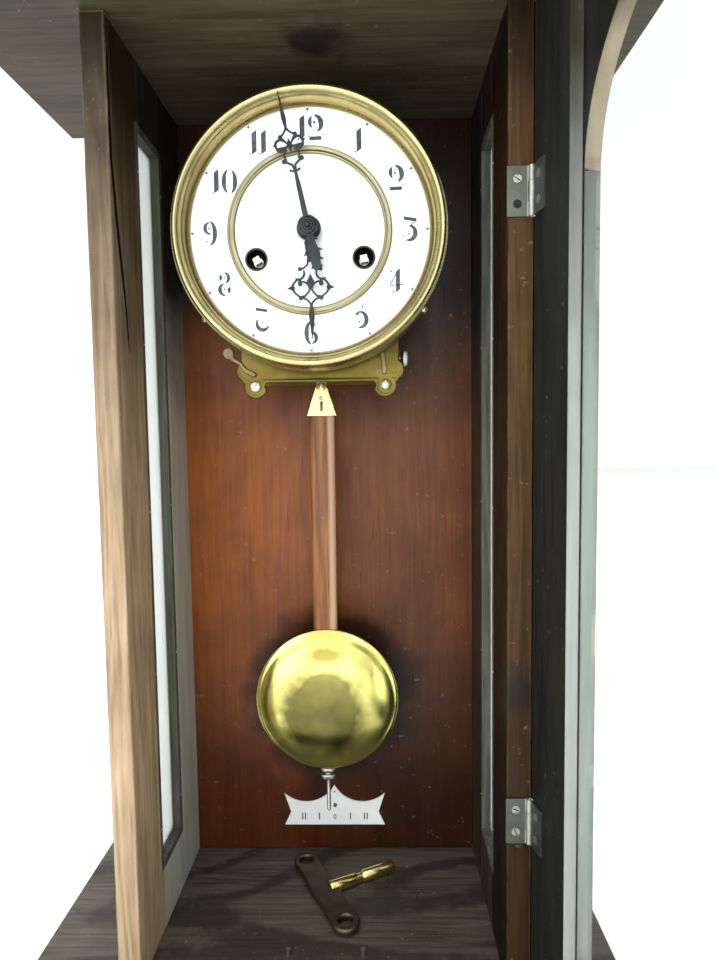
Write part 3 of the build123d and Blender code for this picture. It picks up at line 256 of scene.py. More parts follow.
def enamel(name):
    """Vitreous enamel: white, glossy, with faint waves, age spots and the bezel's painted shadow round its
    rim.
    """
    s = Shader(name)
    waves = s.noise(32, 3)
    specks = s.remap(s.noise(600, 2), 0.735, 0.76)
    colour = s.mix(s.remap(waves, 0.3, 0.7), (0.89, 0.93, 0.92), (0.84, 0.90, 0.91))
    colour = s.mix(s.calc("MULTIPLY", specks, 0.35), colour, (0.34, 0.29, 0.22))
    reach = s.reach("X", dial_centre.x, "Z", dial_centre.z)
    # The second factor leaves out the beat scale, which has the same enamel and lies far below.
    # Painted shadow of the bezel on the dial's outer edge.
    rim = s.calc("MULTIPLY", s.remap(reach, 0.0715, 0.0755), s.remap(reach, 0.10, 0.09))
    colour = s.mix(rim, colour, (0.52, 0.52, 0.41))
    s.set(Base_Color=colour, Roughness=s.remap(waves, 0.3, 0.7, 0.12, 0.22), Coat_Weight=0.5,
          Coat_Roughness=0.06, Normal=s.bump(waves, 0.0008, 0.2))
    return s.material


def paint(name, colour, rough=0.4, shine=0.5, lift=0.0):
    """Dark paint, a little thin in places, where it is paler by the lift; near black, it also stands for
    painted shade.
    """
    s = Shader(name)
    thin = s.remap(s.noise(300, 4), 0.5, 0.78)
    s.set(Base_Color=s.mix(thin, colour, [2.5 * c + lift for c in colour]),
          Roughness=s.remap(s.noise(90, 3), 0.3, 0.7, rough - 0.1, rough + 0.1),
          Specular_IOR_Level=shine, Normal=s.bump(thin, 0.00003, 0.5))
    return s.material


def glass(name, tint, dull, filmed=False):
    """Old drawn glass: faintly green, slightly wavy, roughened by dust, and milky where it is filmed."""
    s = Shader(name)
    waves = s.noise(11, 2, vector=s.mapping((1, 1, 0.3)))
    dust = s.remap(s.noise(260, 5, 0.7), 0.55, 0.85)
    s.set(Base_Color=s.mix(dust, tint, [c * 0.93 for c in tint]), Roughness=s.remap(dust, 0, 1, 0.0, dull),
          IOR=1.45, Normal=s.bump(waves, 0.0012, 0.25))
    if filmed:
        smears = s.noise(24, 4, vector=s.mapping((1, 1, 0.35)))
        s.set(Transmission_Weight=s.remap(smears, 0.3, 0.7, 0.08, 0.0), Subsurface_Weight=1.0,
              Subsurface_Radius=(1.0, 1.0, 1.0), Subsurface_Scale=0.02, Specular_IOR_Level=0.25)
    else:
        s.set(Transmission_Weight=1.0)
    return s.material


def groove_tarnish(s, colour):
    """Brown tarnish left in the hollow of the bezel, next to the dial."""
    reach = s.reach("X", dial_centre.x, "Z", dial_centre.z)
    amount = s.remap(s.ragged(reach, 0.0006, 60), 0.0788, 0.0772)
    return s.wash(s.calc("MULTIPLY", amount, 0.8), colour, (0.52, 0.44, 0.34))


def bright_knuckles(s, colour):
    """Steel kept bright on the knuckles, where the hinge turns."""
    amount = s.remap(s.reach("X", HINGE_AXIS[0], "Y", HINGE_AXIS[1]), 0.0026, 0.0021)
    return s.mix(amount, colour, s.mix(s.noise(300, 3), (0.26, 0.28, 0.24), (0.50, 0.52, 0.46)))


def rubbed_side(s, colour):
    """Painted highlight: a pale strip down the right edge of the pendulum rod."""
    across = s.ragged(s.axis("X"), 0.0003, 60, vector=s.mapping((1, 1, 0.1)))
    rod_x = middle("pendulum_rod").x
    amount = s.remap(across, rod_x + 0.0030, rod_x + 0.0048)
    return s.mix(s.calc("MULTIPLY", amount, 0.7), colour, (0.50, 0.33, 0.22))


def dim_crown(s, colour):
    """Painted reflections on the bob: its upper part darker, a pale highlight round the rim at its sides,
    dark arcs at its sides and a dark oval below its top.
    """
    height = s.remap(s.axis("Z"), bob_centre.z + 0.022, bob_centre.z + 0.048)
    colour = s.wash(height, colour, (0.50, 0.47, 0.40))
    reach = s.ragged(s.reach("X", bob_centre.x, "Z", bob_centre.z), 0.0015, 30, 2)
    band = s.remap(s.calc("ABSOLUTE", s.calc("SUBTRACT", reach, 0.0452)), 0.0024, 0.0008)
    sideways = s.remap(s.calc("ABSOLUTE", s.calc("SUBTRACT", s.axis("X"), bob_centre.x)), 0.012, 0.022)
    colour = s.mix(s.calc("MULTIPLY", s.remap(reach, 0.036, 0.044), sideways), colour, (0.86, 0.81, 0.25))
    upper = s.remap(s.axis("Z"), bob_centre.z - 0.026, bob_centre.z - 0.010)
    arc = s.calc("MULTIPLY", s.calc("MULTIPLY", band, sideways), upper)
    flat = 2.6                   # of the oval: its width over its height
    oval = s.away((bob_centre.x, 0, flat * (bob_centre.z + 0.034)), s.mapping((1, 0, flat)))
    oval = s.remap(s.ragged(oval, 0.003, 60), 0.017, 0.009)
    marks = s.calc("MAXIMUM", s.calc("MULTIPLY", arc, 0.85), s.calc("MULTIPLY", oval, 0.8))
    return s.wash(marks, colour, (0.36, 0.34, 0.26))


def gradient_marks(low, high, low_colour, high_colour, share):
    """Local tint of a timber between two heights, broken up by noise."""
    def tint(s, colour):
        height = s.ragged(s.axis("Z"), 0.03, 16, 4)
        return s.wash(share, colour, s.mix(s.remap(height, low, high), low_colour, high_colour))
    return tint


def round_mark(centre, radius, colour, share, core=0.35, ragged=0.4):
    """Soft dark patch round a point, full inside the core and with a ragged edge; it draws painted shadow and
    shade as well as dark spots.
    """
    def tint(s, base):
        reach = s.ragged(s.away(centre), radius * ragged, 50, 4)
        return s.mix(s.calc("MULTIPLY", s.remap(reach, radius, radius * core), share), base, colour)
    return tint


def on_faces(direction, marks, elsewhere=None):
    """Keeps local marks to the faces that look one way; the other faces may take a plain wash."""
    def tint(s, base):
        plain = base if elsewhere is None else s.wash(1.0, base, elsewhere)
        return s.mix(s.remap(s.facing(direction), 0.4, 0.7), plain, marks(s, base))
    return tint


def handled_middle(s, colour):
    """Painted reflection: a dull olive patch with a soft ragged edge in the middle of the bob."""
    patch = (bob_centre.x - 0.001, bob_centre.y - 0.010, bob_centre.z - 0.006)
    amount = s.remap(s.ragged(s.away(patch), 0.006, 38), 0.036, 0.025)
    tone = s.mix(s.remap(s.noise(30, 3), 0.35, 0.65), (0.12, 0.12, 0.125), (0.25, 0.25, 0.25))
    return s.wash(s.calc("MULTIPLY", amount, 0.95), colour, tone)


def side_marks(axis, low, high, low_colour, high_colour):
    """Local tint across the case, from one place on an axis to another."""
    def tint(s, colour):
        place = s.ragged(s.axis(axis), 0.012, 14)
        return s.wash(1.0, colour, s.mix(s.remap(place, low, high), low_colour, high_colour))
    return tint


def washed(tone):
    """Plain wash of a tone over the whole colour."""
    return lambda s, colour: s.wash(1.0, colour, tone)


def grey_cheek(s, colour):
    """Bare grey timber beside the left window, fading into stain towards the top."""
    left = s.remap(s.axis("X"), -0.09, -0.105)
    below = s.remap(s.ragged(s.axis("Z"), 0.03, 20, 4), -0.10, -0.21)
    shade = s.mix(s.noise(110, 4, vector=s.mapping((1, 1, 0.1))), (0.28, 0.30, 0.245), (0.56, 0.58, 0.49))
    return s.mix(s.calc("MULTIPLY", left, below), colour, shade)


def chained(*tints):
    """Several tints, one over the other."""
    def tint(s, colour):
        for step in tints:
            colour = step(s, colour)
        return colour
    return tint


BRASS, BRASS_DULL = (0.80, 0.66, 0.25), (0.40, 0.31, 0.10)
OLIVE_BRASS, OLIVE_DULL = (0.145, 0.112, 0.028), (0.05, 0.038, 0.011)
STEEL, STEEL_DULL = (0.48, 0.50, 0.45), (0.20, 0.20, 0.16)
PALE_WEAR = (0.30, 0.19, 0.11)

dial_centre = middle("dial_plate")
bob_centre = middle("pendulum_bob")
back_low, back_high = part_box("back_board")
HINGE_AXIS = (122.8 * MM, -149.3 * MM)
DOOR_SWING = radians(102)        # of the door at rest, from shut
LEAF_SCREW_X = 115.1 * MM
NAIL_HOLE = (LEAF_SCREW_X, -149.5 * MM, -88.75 * MM)
HANGER_HEIGHT = 545              # in mm, of the hanger hole above the level that the CAD counts from

bob_shadow = round_mark((-0.001, back_low.y, bob_centre.z - 0.012), 0.074, (0.022, 0.007, 0.003), 0.8,
                        0.78, 0.1)
# Painted shade: a dark patch on the top board.
top_painted_shade = round_mark((0.006, -0.116, 0.02), 0.024, (0.008, 0.006, 0.004), 0.85)

materials = {
    "back": wood("wood_back", (0.40, 0.118, 0.020), (0.17, 0.042, 0.008), "Z", 0.36, 0.7, swirl=0.16,
                 rings=0.12, gloss=0.2, contrast=0.34,
                 # Painted light on the front face: the bob's painted shadow, the right side darker and greyer
                 # as painted shade and sheen, painted shade near the floor and nearly black painted shade
                 # under the top.
                 tint=on_faces(TOWARDS_ROOM,
                               chained(bob_shadow,
                                       side_marks("X", -0.04, 0.05, NO_TINT, (0.44, 0.46, 0.54)),
                                       gradient_marks(-0.48, -0.33, (0.22, 0.17, 0.12), NO_TINT, 0.95),
                                       gradient_marks(-0.22, -0.10, NO_TINT, (0.07, 0.05, 0.04), 0.95)),
                               (0.62, 0.74, 0.95))),
    "top": wood("wood_top", (0.100, 0.084, 0.050), (0.046, 0.038, 0.020), "X", 0.6, 0.7, PALE_WEAR, 0.3,
                rings=0.10,
                # Painted shade: the top board's left outer end darker, and a dark patch.
                tint=chained(side_marks("X", -0.14, -0.11, (0.50, 0.48, 0.40), NO_TINT), top_painted_shade)),
    "bottom": wood("wood_bottom", (0.095, 0.086, 0.066), (0.036, 0.030, 0.022), "X", 0.46, 0.45,
                   (0.10, 0.07, 0.05), 0.4, rings=0.1, swirl=0.75),
    "crown": wood("wood_crown", (0.10, 0.07, 0.04), (0.035, 0.024, 0.015), "X", 0.5, 0.5, PALE_WEAR, 0.5),
    "side": wood("wood_side", (0.070, 0.054, 0.036), (0.024, 0.018, 0.012), "Z", 0.5, 0.5, PALE_WEAR, 0.3,
                 rings=0.12,
                 # Painted shade: darker towards the top and on the right-hand side.
                 tint=chained(gradient_marks(-0.16, -0.02, NO_TINT, (0.3, 0.28, 0.24), 0.95),
                              side_marks("X", 0.09, 0.105, NO_TINT, (0.62, 0.60, 0.58)),
                              on_faces(X, grey_cheek))),
    "left": wood("wood_left", (0.47, 0.345, 0.215), (0.245, 0.165, 0.092), "Z", 0.52, 0.45,
                 (0.56, 0.44, 0.29), 0.6, rings=0.14,
                 # Painted shade: much darker towards the top, under the top board; the outer face a darker
                 # stain.
                 tint=chained(gradient_marks(-0.26, -0.02, NO_TINT, (0.062, 0.045, 0.024), 1.0),
                              on_faces(-X, washed((0.20, 0.17, 0.14))))),
    "right": wood("wood_right", (0.088, 0.046, 0.013), (0.036, 0.017, 0.005), "Z", 0.48, 0.6, PALE_WEAR, 0.3,
                  rings=0.14, gloss=0.14,
                  # Painted shade: the inner face darker and the top end near black; also darker towards the
                  # bottom, with a dark spot low down.
                  tint=chained(on_faces(-X, washed((0.30, 0.26, 0.24))),
                               gradient_marks(-0.46, -0.30, (0.42, 0.40, 0.42), NO_TINT, 0.9),
                               gradient_marks(-0.06, 0.0, NO_TINT, (0.25, 0.22, 0.18), 0.95),
                               round_mark((0.117, -0.148, -0.364), 0.022, (0.010, 0.010, 0.009), 0.8))),
    "rail": wood("wood_rail", (0.07, 0.05, 0.03), (0.025, 0.018, 0.012), "X", 0.55, 0.5),
    "bead": wood("wood_bead", (0.120, 0.125, 0.098), (0.042, 0.044, 0.034), "Z", 0.45, 0.4,
                 (0.26, 0.26, 0.21), 0.35, rings=0.1),
    "rod": wood("wood_rod", (0.30, 0.115, 0.028), (0.13, 0.042, 0.010), "Z", 0.18, 0.4, gloss=0.28,
                # Painted highlight down the rod's right edge, on its front.
                tint=on_faces(TOWARDS_ROOM, rubbed_side)),
    "glass": glass("glass_window", (0.66, 1.0, 0.76), 0.16, filmed=True),
    "door_glass": glass("glass_door", (0.95, 0.985, 0.97), 0.02),
    "brass": metal("brass_polished", BRASS, BRASS_DULL, 0.15, 0.3, scratch=0.15),
    "bob": metal("brass_bob", (0.76, 0.70, 0.22), (0.52, 0.45, 0.13), 0.10, 0.25, scratch=0.12, edge=0.2,
                 # Painted reflections and a painted highlight on the bob.
                 tint=chained(handled_middle, dim_crown)),
    "bezel": metal("brass_bezel", (0.48, 0.43, 0.205), (0.30, 0.255, 0.11), 0.2, 0.22, scratch=0.2,
                   tint=groove_tarnish),
    "bracket": metal("brass_bracket", OLIVE_BRASS, OLIVE_DULL, 0.28, 0.45),
    "wheel": metal("brass_wheels", (0.68, 0.55, 0.22), BRASS_DULL, 0.28, 0.35),
    "steel": metal("steel_bright", STEEL, STEEL_DULL, 0.24, 0.4),
    "hinge": metal("steel_hinge", (0.135, 0.145, 0.118), (0.06, 0.064, 0.05), 0.36, 0.5,
                   tint=bright_knuckles),
    "hands": metal("steel_hands", (0.045, 0.052, 0.052), (0.020, 0.024, 0.025), 0.34, 0.5, edge=0.25),
    "gong": metal("steel_gong", (0.10, 0.10, 0.115), (0.04, 0.04, 0.05), 0.32, 0.3),
    "iron": metal("iron_key", (0.115, 0.092, 0.064), (0.05, 0.038, 0.026), 0.36, 0.6, edge=0.9),
    # Near-black painted shade inside the left stile's shake and on the hinge-side strip.
    "painted_shade": paint("wood_painted_shade", (0.009, 0.005, 0.003), 0.8, 0.0),
    "screws": metal("steel_screws", STEEL, STEEL_DULL, 0.24, 0.4,
                    tint=round_mark(NAIL_HOLE, 0.005, (0.03, 0.03, 0.022), 1.0, 0.9, 0.0)),
    "ring": metal("brass_ring", (0.29, 0.27, 0.155), (0.17, 0.155, 0.085), 0.24, 0.3, scratch=0.2),
    "nail": metal("iron_nail", (0.035, 0.033, 0.028), (0.012, 0.011, 0.010), 0.5, 0.5),
    "enamel": enamel("enamel_white"),
    "paint": paint("paint_numerals", (0.022, 0.030, 0.045), lift=0.04),
    # Near-black paint that stands for shade, in the winding holes and the screw slots.
    "dark": paint("paint_shade_black", (0.004, 0.004, 0.003)),
    # Near-black front plate: painted shade behind the dial.
    "shadowed": metal("brass_painted_shade", (0.012, 0.010, 0.007), (0.006, 0.005, 0.004), 0.4, 0.5),
    "lever": metal("brass_tarnished", (0.17, 0.145, 0.075), (0.07, 0.055, 0.028), 0.25, 0.5),
}


def door_material(name, low_tones, high_tones, fade):
    """Door timber: near-black inside face; the cheeks of the opening paler low down and dark higher up."""
    def tint(s, colour):
        cheek = s.remap(s.facing((-cos(DOOR_SWING), -sin(DOOR_SWING), 0)), 0.5, 0.8)
        streak = s.remap(s.noise(120, 4, vector=s.mapping((1, 1, 0.08))), 0.35, 0.7)
        height = s.remap(s.ragged(s.axis("Z"), 0.02, 18, 4), *fade)
        return s.mix(cheek, colour, s.mix(height, s.mix(streak, *low_tones), s.mix(streak, *high_tones)))

    return wood(name, (0.014, 0.015, 0.012), (0.006, 0.006, 0.005), "Z", 0.6, 0.4, (0.07, 0.05, 0.03),
                0.4, rings=0.1, tint=tint, scuff=0.1, gloss=0.12)


CHEEK_DARK = ((0.020, 0.020, 0.013), (0.045, 0.040, 0.025))
CHEEK_GREY, CHEEK_TAN = ((0.27, 0.30, 0.28), (0.37, 0.39, 0.37)), ((0.40, 0.32, 0.23), (0.50, 0.42, 0.31))
materials["door"] = door_material("wood_door", CHEEK_GREY, CHEEK_DARK, (-0.20, -0.03))
materials["arch"] = door_material("wood_arch", CHEEK_TAN, CHEEK_DARK, (-0.03, 0.02))

node_materials = {
    "back": ["back_board"], "top": ["top_board"], "bottom": ["bottom_board"], "crown": ["crown_board"],
    "side": ["rear_stiles", "side_rails"], "left": ["left_front_stile"], "right": ["right_front_stile"],
    "rail": ["rear_rails"], "bead": ["side_glass_beads"], "rod": ["pendulum_rod"], "glass": ["side_glass"],
    "door_glass": ["door_glass"],
    "door": ["door_hinge_stile", "door_latch_stile", "door_bottom_rail"], "arch": ["door_arch_rail"],
    "screws": ["case_screws"],
    "steel": ["hanger_plate", "door_screws", "clamp_screws", "clamp_levers", "going_arbor",
              "strike_arbor", "anchor", "cannon_pinion", "pendulum_hook", "rating_screw", "rating_nut"],
    "hinge": ["case_hinge_leaves", "door_hinge_leaves"],
    "brass": ["door_hook", "key_shaft", "pendulum_cap"], "ring": ["dial_inner_ring"],
    # Painted shade: the winding holes' grommets and the front plate behind them near black.
    "dark": ["dial_grommets"],
    "shadowed": ["front_plate"],
    "bezel": ["dial_bezel"], "bob": ["pendulum_bob"], "bracket": ["movement_bracket", "gong_block"],
    "wheel": ["back_plate", "plate_pillars", "going_barrel", "strike_barrel",
              "intermediate_wheel", "centre_wheel", "third_wheel", "escape_wheel", "minute_wheel",
              "hour_wheel", "hammer"],
    "hands": ["minute_hand", "hour_hand", "hand_collet"], "gong": ["gong_coil"], "iron": ["key_wing"],
    "enamel": ["dial_plate", "beat_scale"],
}
for key, names in node_materials.items():
    for node_name in names:
        mesh = nodes[node_name].data
        mesh.materials.clear()
        mesh.materials.append(materials[key])


# ---- mesh helpers ----
def finish_piece(name, mesh_data, material, body, stands_for=(), sharp=35):
    """Turns a bmesh into a named piece that rides on a body."""
    bmesh.ops.recalc_face_normals(mesh_data, faces=mesh_data.faces[:])
    mesh = bpy.data.meshes.new(name)
    mesh_data.to_mesh(mesh)
    mesh_data.free()
    mesh.shade_smooth()
    mesh.set_sharp_from_angle(angle=radians(sharp))
    mesh.materials.append(materials[material])
    piece = placed(name, mesh)
    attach(piece, body)
    if stands_for:
        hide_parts(*stands_for)
    return piece


def axes_for(axis):
    """Two directions square to an axis."""
    first = (Z if abs(axis.z) < 0.9 else X).cross(axis).normalized()
    return first, axis.cross(first).normalized()


def rounded(points, radius, steps):
    """Closed outline with its corners turned into arcs."""
    smooth = []
    count = len(points)
    for index in range(count):
        corner = Vector((*points[index], 0))
        back = Vector((*points[index - 1], 0)) - corner
        ahead = Vector((*points[(index + 1) % count], 0)) - corner
        cut = min(radius, back.length * 0.45, ahead.length * 0.45)     # so that two arcs never meet
        start, end = corner + back.normalized() * cut, corner + ahead.normalized() * cut
        for step in range(steps + 1):
            t = step / steps
            spot = start * (1 - t) ** 2 + corner * 2 * t * (1 - t) + end * t * t
            smooth.append((spot.x, spot.y))
    return smooth


ON_AXIS = 1e-4                   # radius in mm below which a ring shrinks to one point


def lathe(mesh_data, outline, origin, axis, segments=96, ripple=None):
    """Adds a turned solid from a closed outline of (radius, height) in millimetres.

    ripple(angle, height) adds to the radius.
    """
    first, second = axes_for(axis)
    rings = []
    for radius, height in outline:
        centre = origin + axis * height * MM
        if radius < ON_AXIS:
            rings.append([mesh_data.verts.new(centre)])
            continue
        ring = []
        for step in range(segments):
            angle = 2 * pi * step / segments
            reach = radius + (ripple(angle, height) if ripple else 0.0)
            ring.append(mesh_data.verts.new(centre + (first * cos(angle) + second * sin(angle)) * reach * MM))
        rings.append(ring)
    for ring, following in zip(rings, rings[1:] + rings[:1]):
        for step in range(segments):
            after = (step + 1) % segments
            if len(ring) == 1 and len(following) == 1:
                break
            if len(ring) == 1:
                mesh_data.faces.new((ring[0], following[after], following[step]))
            elif len(following) == 1:
                mesh_data.faces.new((ring[step], ring[after], following[0]))
            else:
                mesh_data.faces.new((ring[step], ring[after], following[after], following[step]))


def skin(mesh_data, rings, marked=()):
    """Joins rings of vertices in turn and closes both ends; the marked sides take the second material."""
    count = len(rings[0])
    for ring, following in zip(rings, rings[1:]):
        for k in range(count):
            after = (k + 1) % count
            face = mesh_data.faces.new((ring[k], ring[after], following[after], following[k]))
            face.material_index = int(k in marked)
    mesh_data.faces.new(rings[0][::-1])
    mesh_data.faces.new(rings[-1])


def tube(mesh_data, path, radius, sides):
    """Adds round wire with closed ends along a list of points."""
    turns = [2 * pi * k / sides for k in range(sides)]
    rings = []
    for index, spot in enumerate(path):
        ahead = path[min(index + 1, len(path) - 1)] - path[max(index - 1, 0)]
        first, second = axes_for(ahead.normalized())
        rings.append([mesh_data.verts.new(spot + (first * cos(a) + second * sin(a)) * radius) for a in turns])
    skin(mesh_data, rings)


def prism(mesh_data, outline, to_space, low, high):
    """Adds a flat closed solid from a simple outline, between two levels."""
    skin(mesh_data, [[mesh_data.verts.new(to_space(x, y, level)) for x, y in outline]
                     for level in (low, high)])


# ---- shapes given by fields: positive inside, in millimetres ----
def disc(x, y, cx, cy, radius):
    """Distance inside a circle."""
    return radius - np.hypot(x - cx, y - cy)


def stroke(x, y, points, widths):
    """Tapered ribbon through a list of points, with a half width at each."""
    inside = np.full(np.shape(x), -1e3)
    for (ax, ay), (bx, by), wa, wb in zip(points, points[1:], widths, widths[1:]):
        length = max((bx - ax) ** 2 + (by - ay) ** 2, 1e-9)
        t = np.clip(((x - ax) * (bx - ax) + (y - ay) * (by - ay)) / length, 0, 1)
        away = np.hypot(x - ax - t * (bx - ax), y - ay - t * (by - ay))
        inside = np.maximum(inside, wa + (wb - wa) * t - away)
    return inside


def bow(x, y, centre, radius, start, end, ends, waist):
    """Curved ribbon along an arc given in degrees, with half widths at its ends and its middle."""
    steps = 10
    turn = [radians(start + (end - start) * k / steps) for k in range(steps + 1)]
    points = [(centre[0] + radius * cos(a), centre[1] + radius * sin(a)) for a in turn]
    widths = [ends + (waist - ends) * sin(pi * k / steps) for k in range(steps + 1)]
    return stroke(x, y, points, widths)


def union(x, y, parts):
    """Ribbons (two lists), discs (three numbers) and bows (six values), taken together."""
    kinds = {2: stroke, 3: disc, 6: bow}
    return np.maximum.reduce([kinds[len(part)](x, y, *part) for part in parts])


def panel(x, y, corners):
    """Convex panel, its corners listed anticlockwise."""
    inside = np.full(np.shape(x), 1e3)
    for (ax, ay), (bx, by) in zip(corners, corners[1:] + corners[:1]):
        length = hypot(bx - ax, by - ay)
        inside = np.minimum(inside, ((by - ay) * (ax - x) - (bx - ax) * (ay - y)) / length)
    return inside


def both_sides(shape, x, y, *more):
    """A shape together with its mirror image across the y axis."""
    return np.maximum(shape(x, y, *more), shape(-x, y, *more))


def sheet(mesh_data, field, span, step, thickness, to_space, edge, relief=None):
    """Adds the solid sheet where the field is positive, with eased edges and an optional relief."""
    (x0, x1), (y0, y1) = span
    xs, ys = np.arange(x0, x1 + step, step), np.arange(y0, y1 + step, step)
    grid_x, grid_y = np.meshgrid(xs, ys, indexing="ij")
    inside = field(grid_x, grid_y)
    inside[np.abs(inside) < 1e-4] = 1e-4
    ease = thickness - edge * (1 - np.clip(inside / edge, 0, 1)) ** 2
    if relief is not None:
        ease = ease + relief(grid_x, grid_y, inside)
    rim = thickness - edge
    made = {}

    def grid_vertex(i, j):
        if (i, j) not in made:
            spot = xs[i], ys[j]
            made[i, j] = (mesh_data.verts.new(to_space(*spot, ease[i, j])),
                          mesh_data.verts.new(to_space(*spot, 0.0)))
        return made[i, j]

    def edge_vertex(a, b):
        key = (a, b) if a < b else (b, a)
        if key not in made:
            share = inside[a] / (inside[a] - inside[b])
            spot_x = xs[a[0]] + share * (xs[b[0]] - xs[a[0]])
            spot_y = ys[a[1]] + share * (ys[b[1]] - ys[a[1]])
            lift = 0.0 if relief is None else float(relief(np.array(spot_x), np.array(spot_y), np.array(0.0)))
            made[key] = (mesh_data.verts.new(to_space(spot_x, spot_y, rim + lift)),
                         mesh_data.verts.new(to_space(spot_x, spot_y, 0.0)))
        return made[key]

    def polygon(corners, cut):
        if len(corners) < 3:
            return
        mesh_data.faces.new([c[0] for c in corners])
        mesh_data.faces.new([c[1] for c in corners][::-1])
        for first, second in cut:
            mesh_data.faces.new((first[0], first[1], second[1], second[0]))

    filled = inside > 0
    any_in = filled[:-1, :-1] | filled[1:, :-1] | filled[:-1, 1:] | filled[1:, 1:]
    for i, j in zip(*np.nonzero(any_in)):
        loop = [(i, j), (i + 1, j), (i + 1, j + 1), (i, j + 1)]
        state = [bool(filled[c]) for c in loop]
        if state in ([True, False, True, False], [False, True, False, True]):
            for k in range(4):
                if state[k]:
                    before, after = edge_vertex(loop[k - 1], loop[k]), edge_vertex(loop[k], loop[(k + 1) % 4])
                    polygon([before, grid_vertex(*loop[k]), after], [(after, before)])
            continue
        corners, ends = [], []
        for k in range(4):
            after = (k + 1) % 4
            if state[k]:
                corners.append(grid_vertex(*loop[k]))
            if state[k] != state[after]:
                crossing = edge_vertex(loop[k], loop[after])
                corners.append(crossing)
                ends.append((crossing, state[k]))
        cut = []
        if ends:
            leaving = next(c for c, out in ends if out)
            entering = next(c for c, out in ends if not out)
            cut = [(leaving, entering)]
        polygon(corners, cut)


def dissolve_flats(mesh_data):
    """Merges the grid of a sheet's flat faces into large ones."""
    bmesh.ops.remove_doubles(mesh_data, verts=mesh_data.verts[:], dist=1e-6)
    bmesh.ops.dissolve_limit(mesh_data, angle_limit=radians(1), verts=mesh_data.verts[:],
                             edges=mesh_data.edges[:])


def front_space(centre, y):
    """From millimetres right and up of a centre to the shared frame, with height towards the room."""
    def to_space(right, up, height):
        return Vector((centre[0] + right * MM, y - height * MM, centre[1] + up * MM))
    return to_space


def turned_space(centre, y, clockwise):
    """As front_space, but turned clockwise as seen from the room."""
    across = Vector((cos(clockwise), 0, -sin(clockwise)))
    along = Vector((sin(clockwise), 0, cos(clockwise)))
    origin = Vector((centre[0], y, centre[1]))

    def to_space(right, up, height):
        return origin + (across * right + along * up - Y * height) * MM
    return to_space


# ---- case timbers with worn edges ----
def smooth_noise(*place):
    """Noise from about -1 to 1 that is the same in each run."""
    return noise.noise(Vector(place))


def soften(names, width):
    """Eases the sharp edges of CAD timbers, whose meshes stay as they are."""
    for name in names:
        weld = nodes[name].modifiers.new("weld", "WELD")
        weld.merge_threshold = 0.00002
        ease = nodes[name].modifiers.new("ease", "BEVEL")
        ease.width, ease.segments, ease.limit_method = width, 2, "ANGLE"
        ease.angle_limit = radians(50)
        ease.harden_normals = True
        ease.use_clamp_overlap = True


soften(["back_board", "top_board", "crown_board", "bottom_board", "rear_stiles", "side_rails",
        "rear_rails"], 0.0008)
soften(["door_latch_stile", "door_arch_rail", "door_bottom_rail"], 0.0009)
soften(["door_hinge_stile"], 0.0003)
soften(["side_glass_beads"], 0.0006)


# Height in metres and depth behind the front face in millimetres of the left stile's long shake.
SHAKE = ((0.000, 2.6), (-0.059, 3.0), (-0.095, 8.6), (-0.138, 17.0), (-0.164, 19.4))


def shake_at(height):
    """Depth behind the front face and half width, in metres, of the shake in the left stile."""
    top, bottom = SHAKE[0][0], SHAKE[-1][0]
    heights = [z for z, _ in SHAKE][::-1]
    depth = float(np.interp(height, heights, [d for _, d in SHAKE][::-1])) * MM
    if not bottom < height < top:
        return depth, 0.02 * MM
    down = (top - height) / (top - bottom)
    width = 2.1 * MM * sin(pi * min(0.15 + 0.82 * down, 0.96)) ** 0.5
    return depth + 0.5 * MM * smooth_noise(0, 0, height * 60), width


SHAKE_SIDES = (9, 10)            # sides of a stile's ring that line the shake


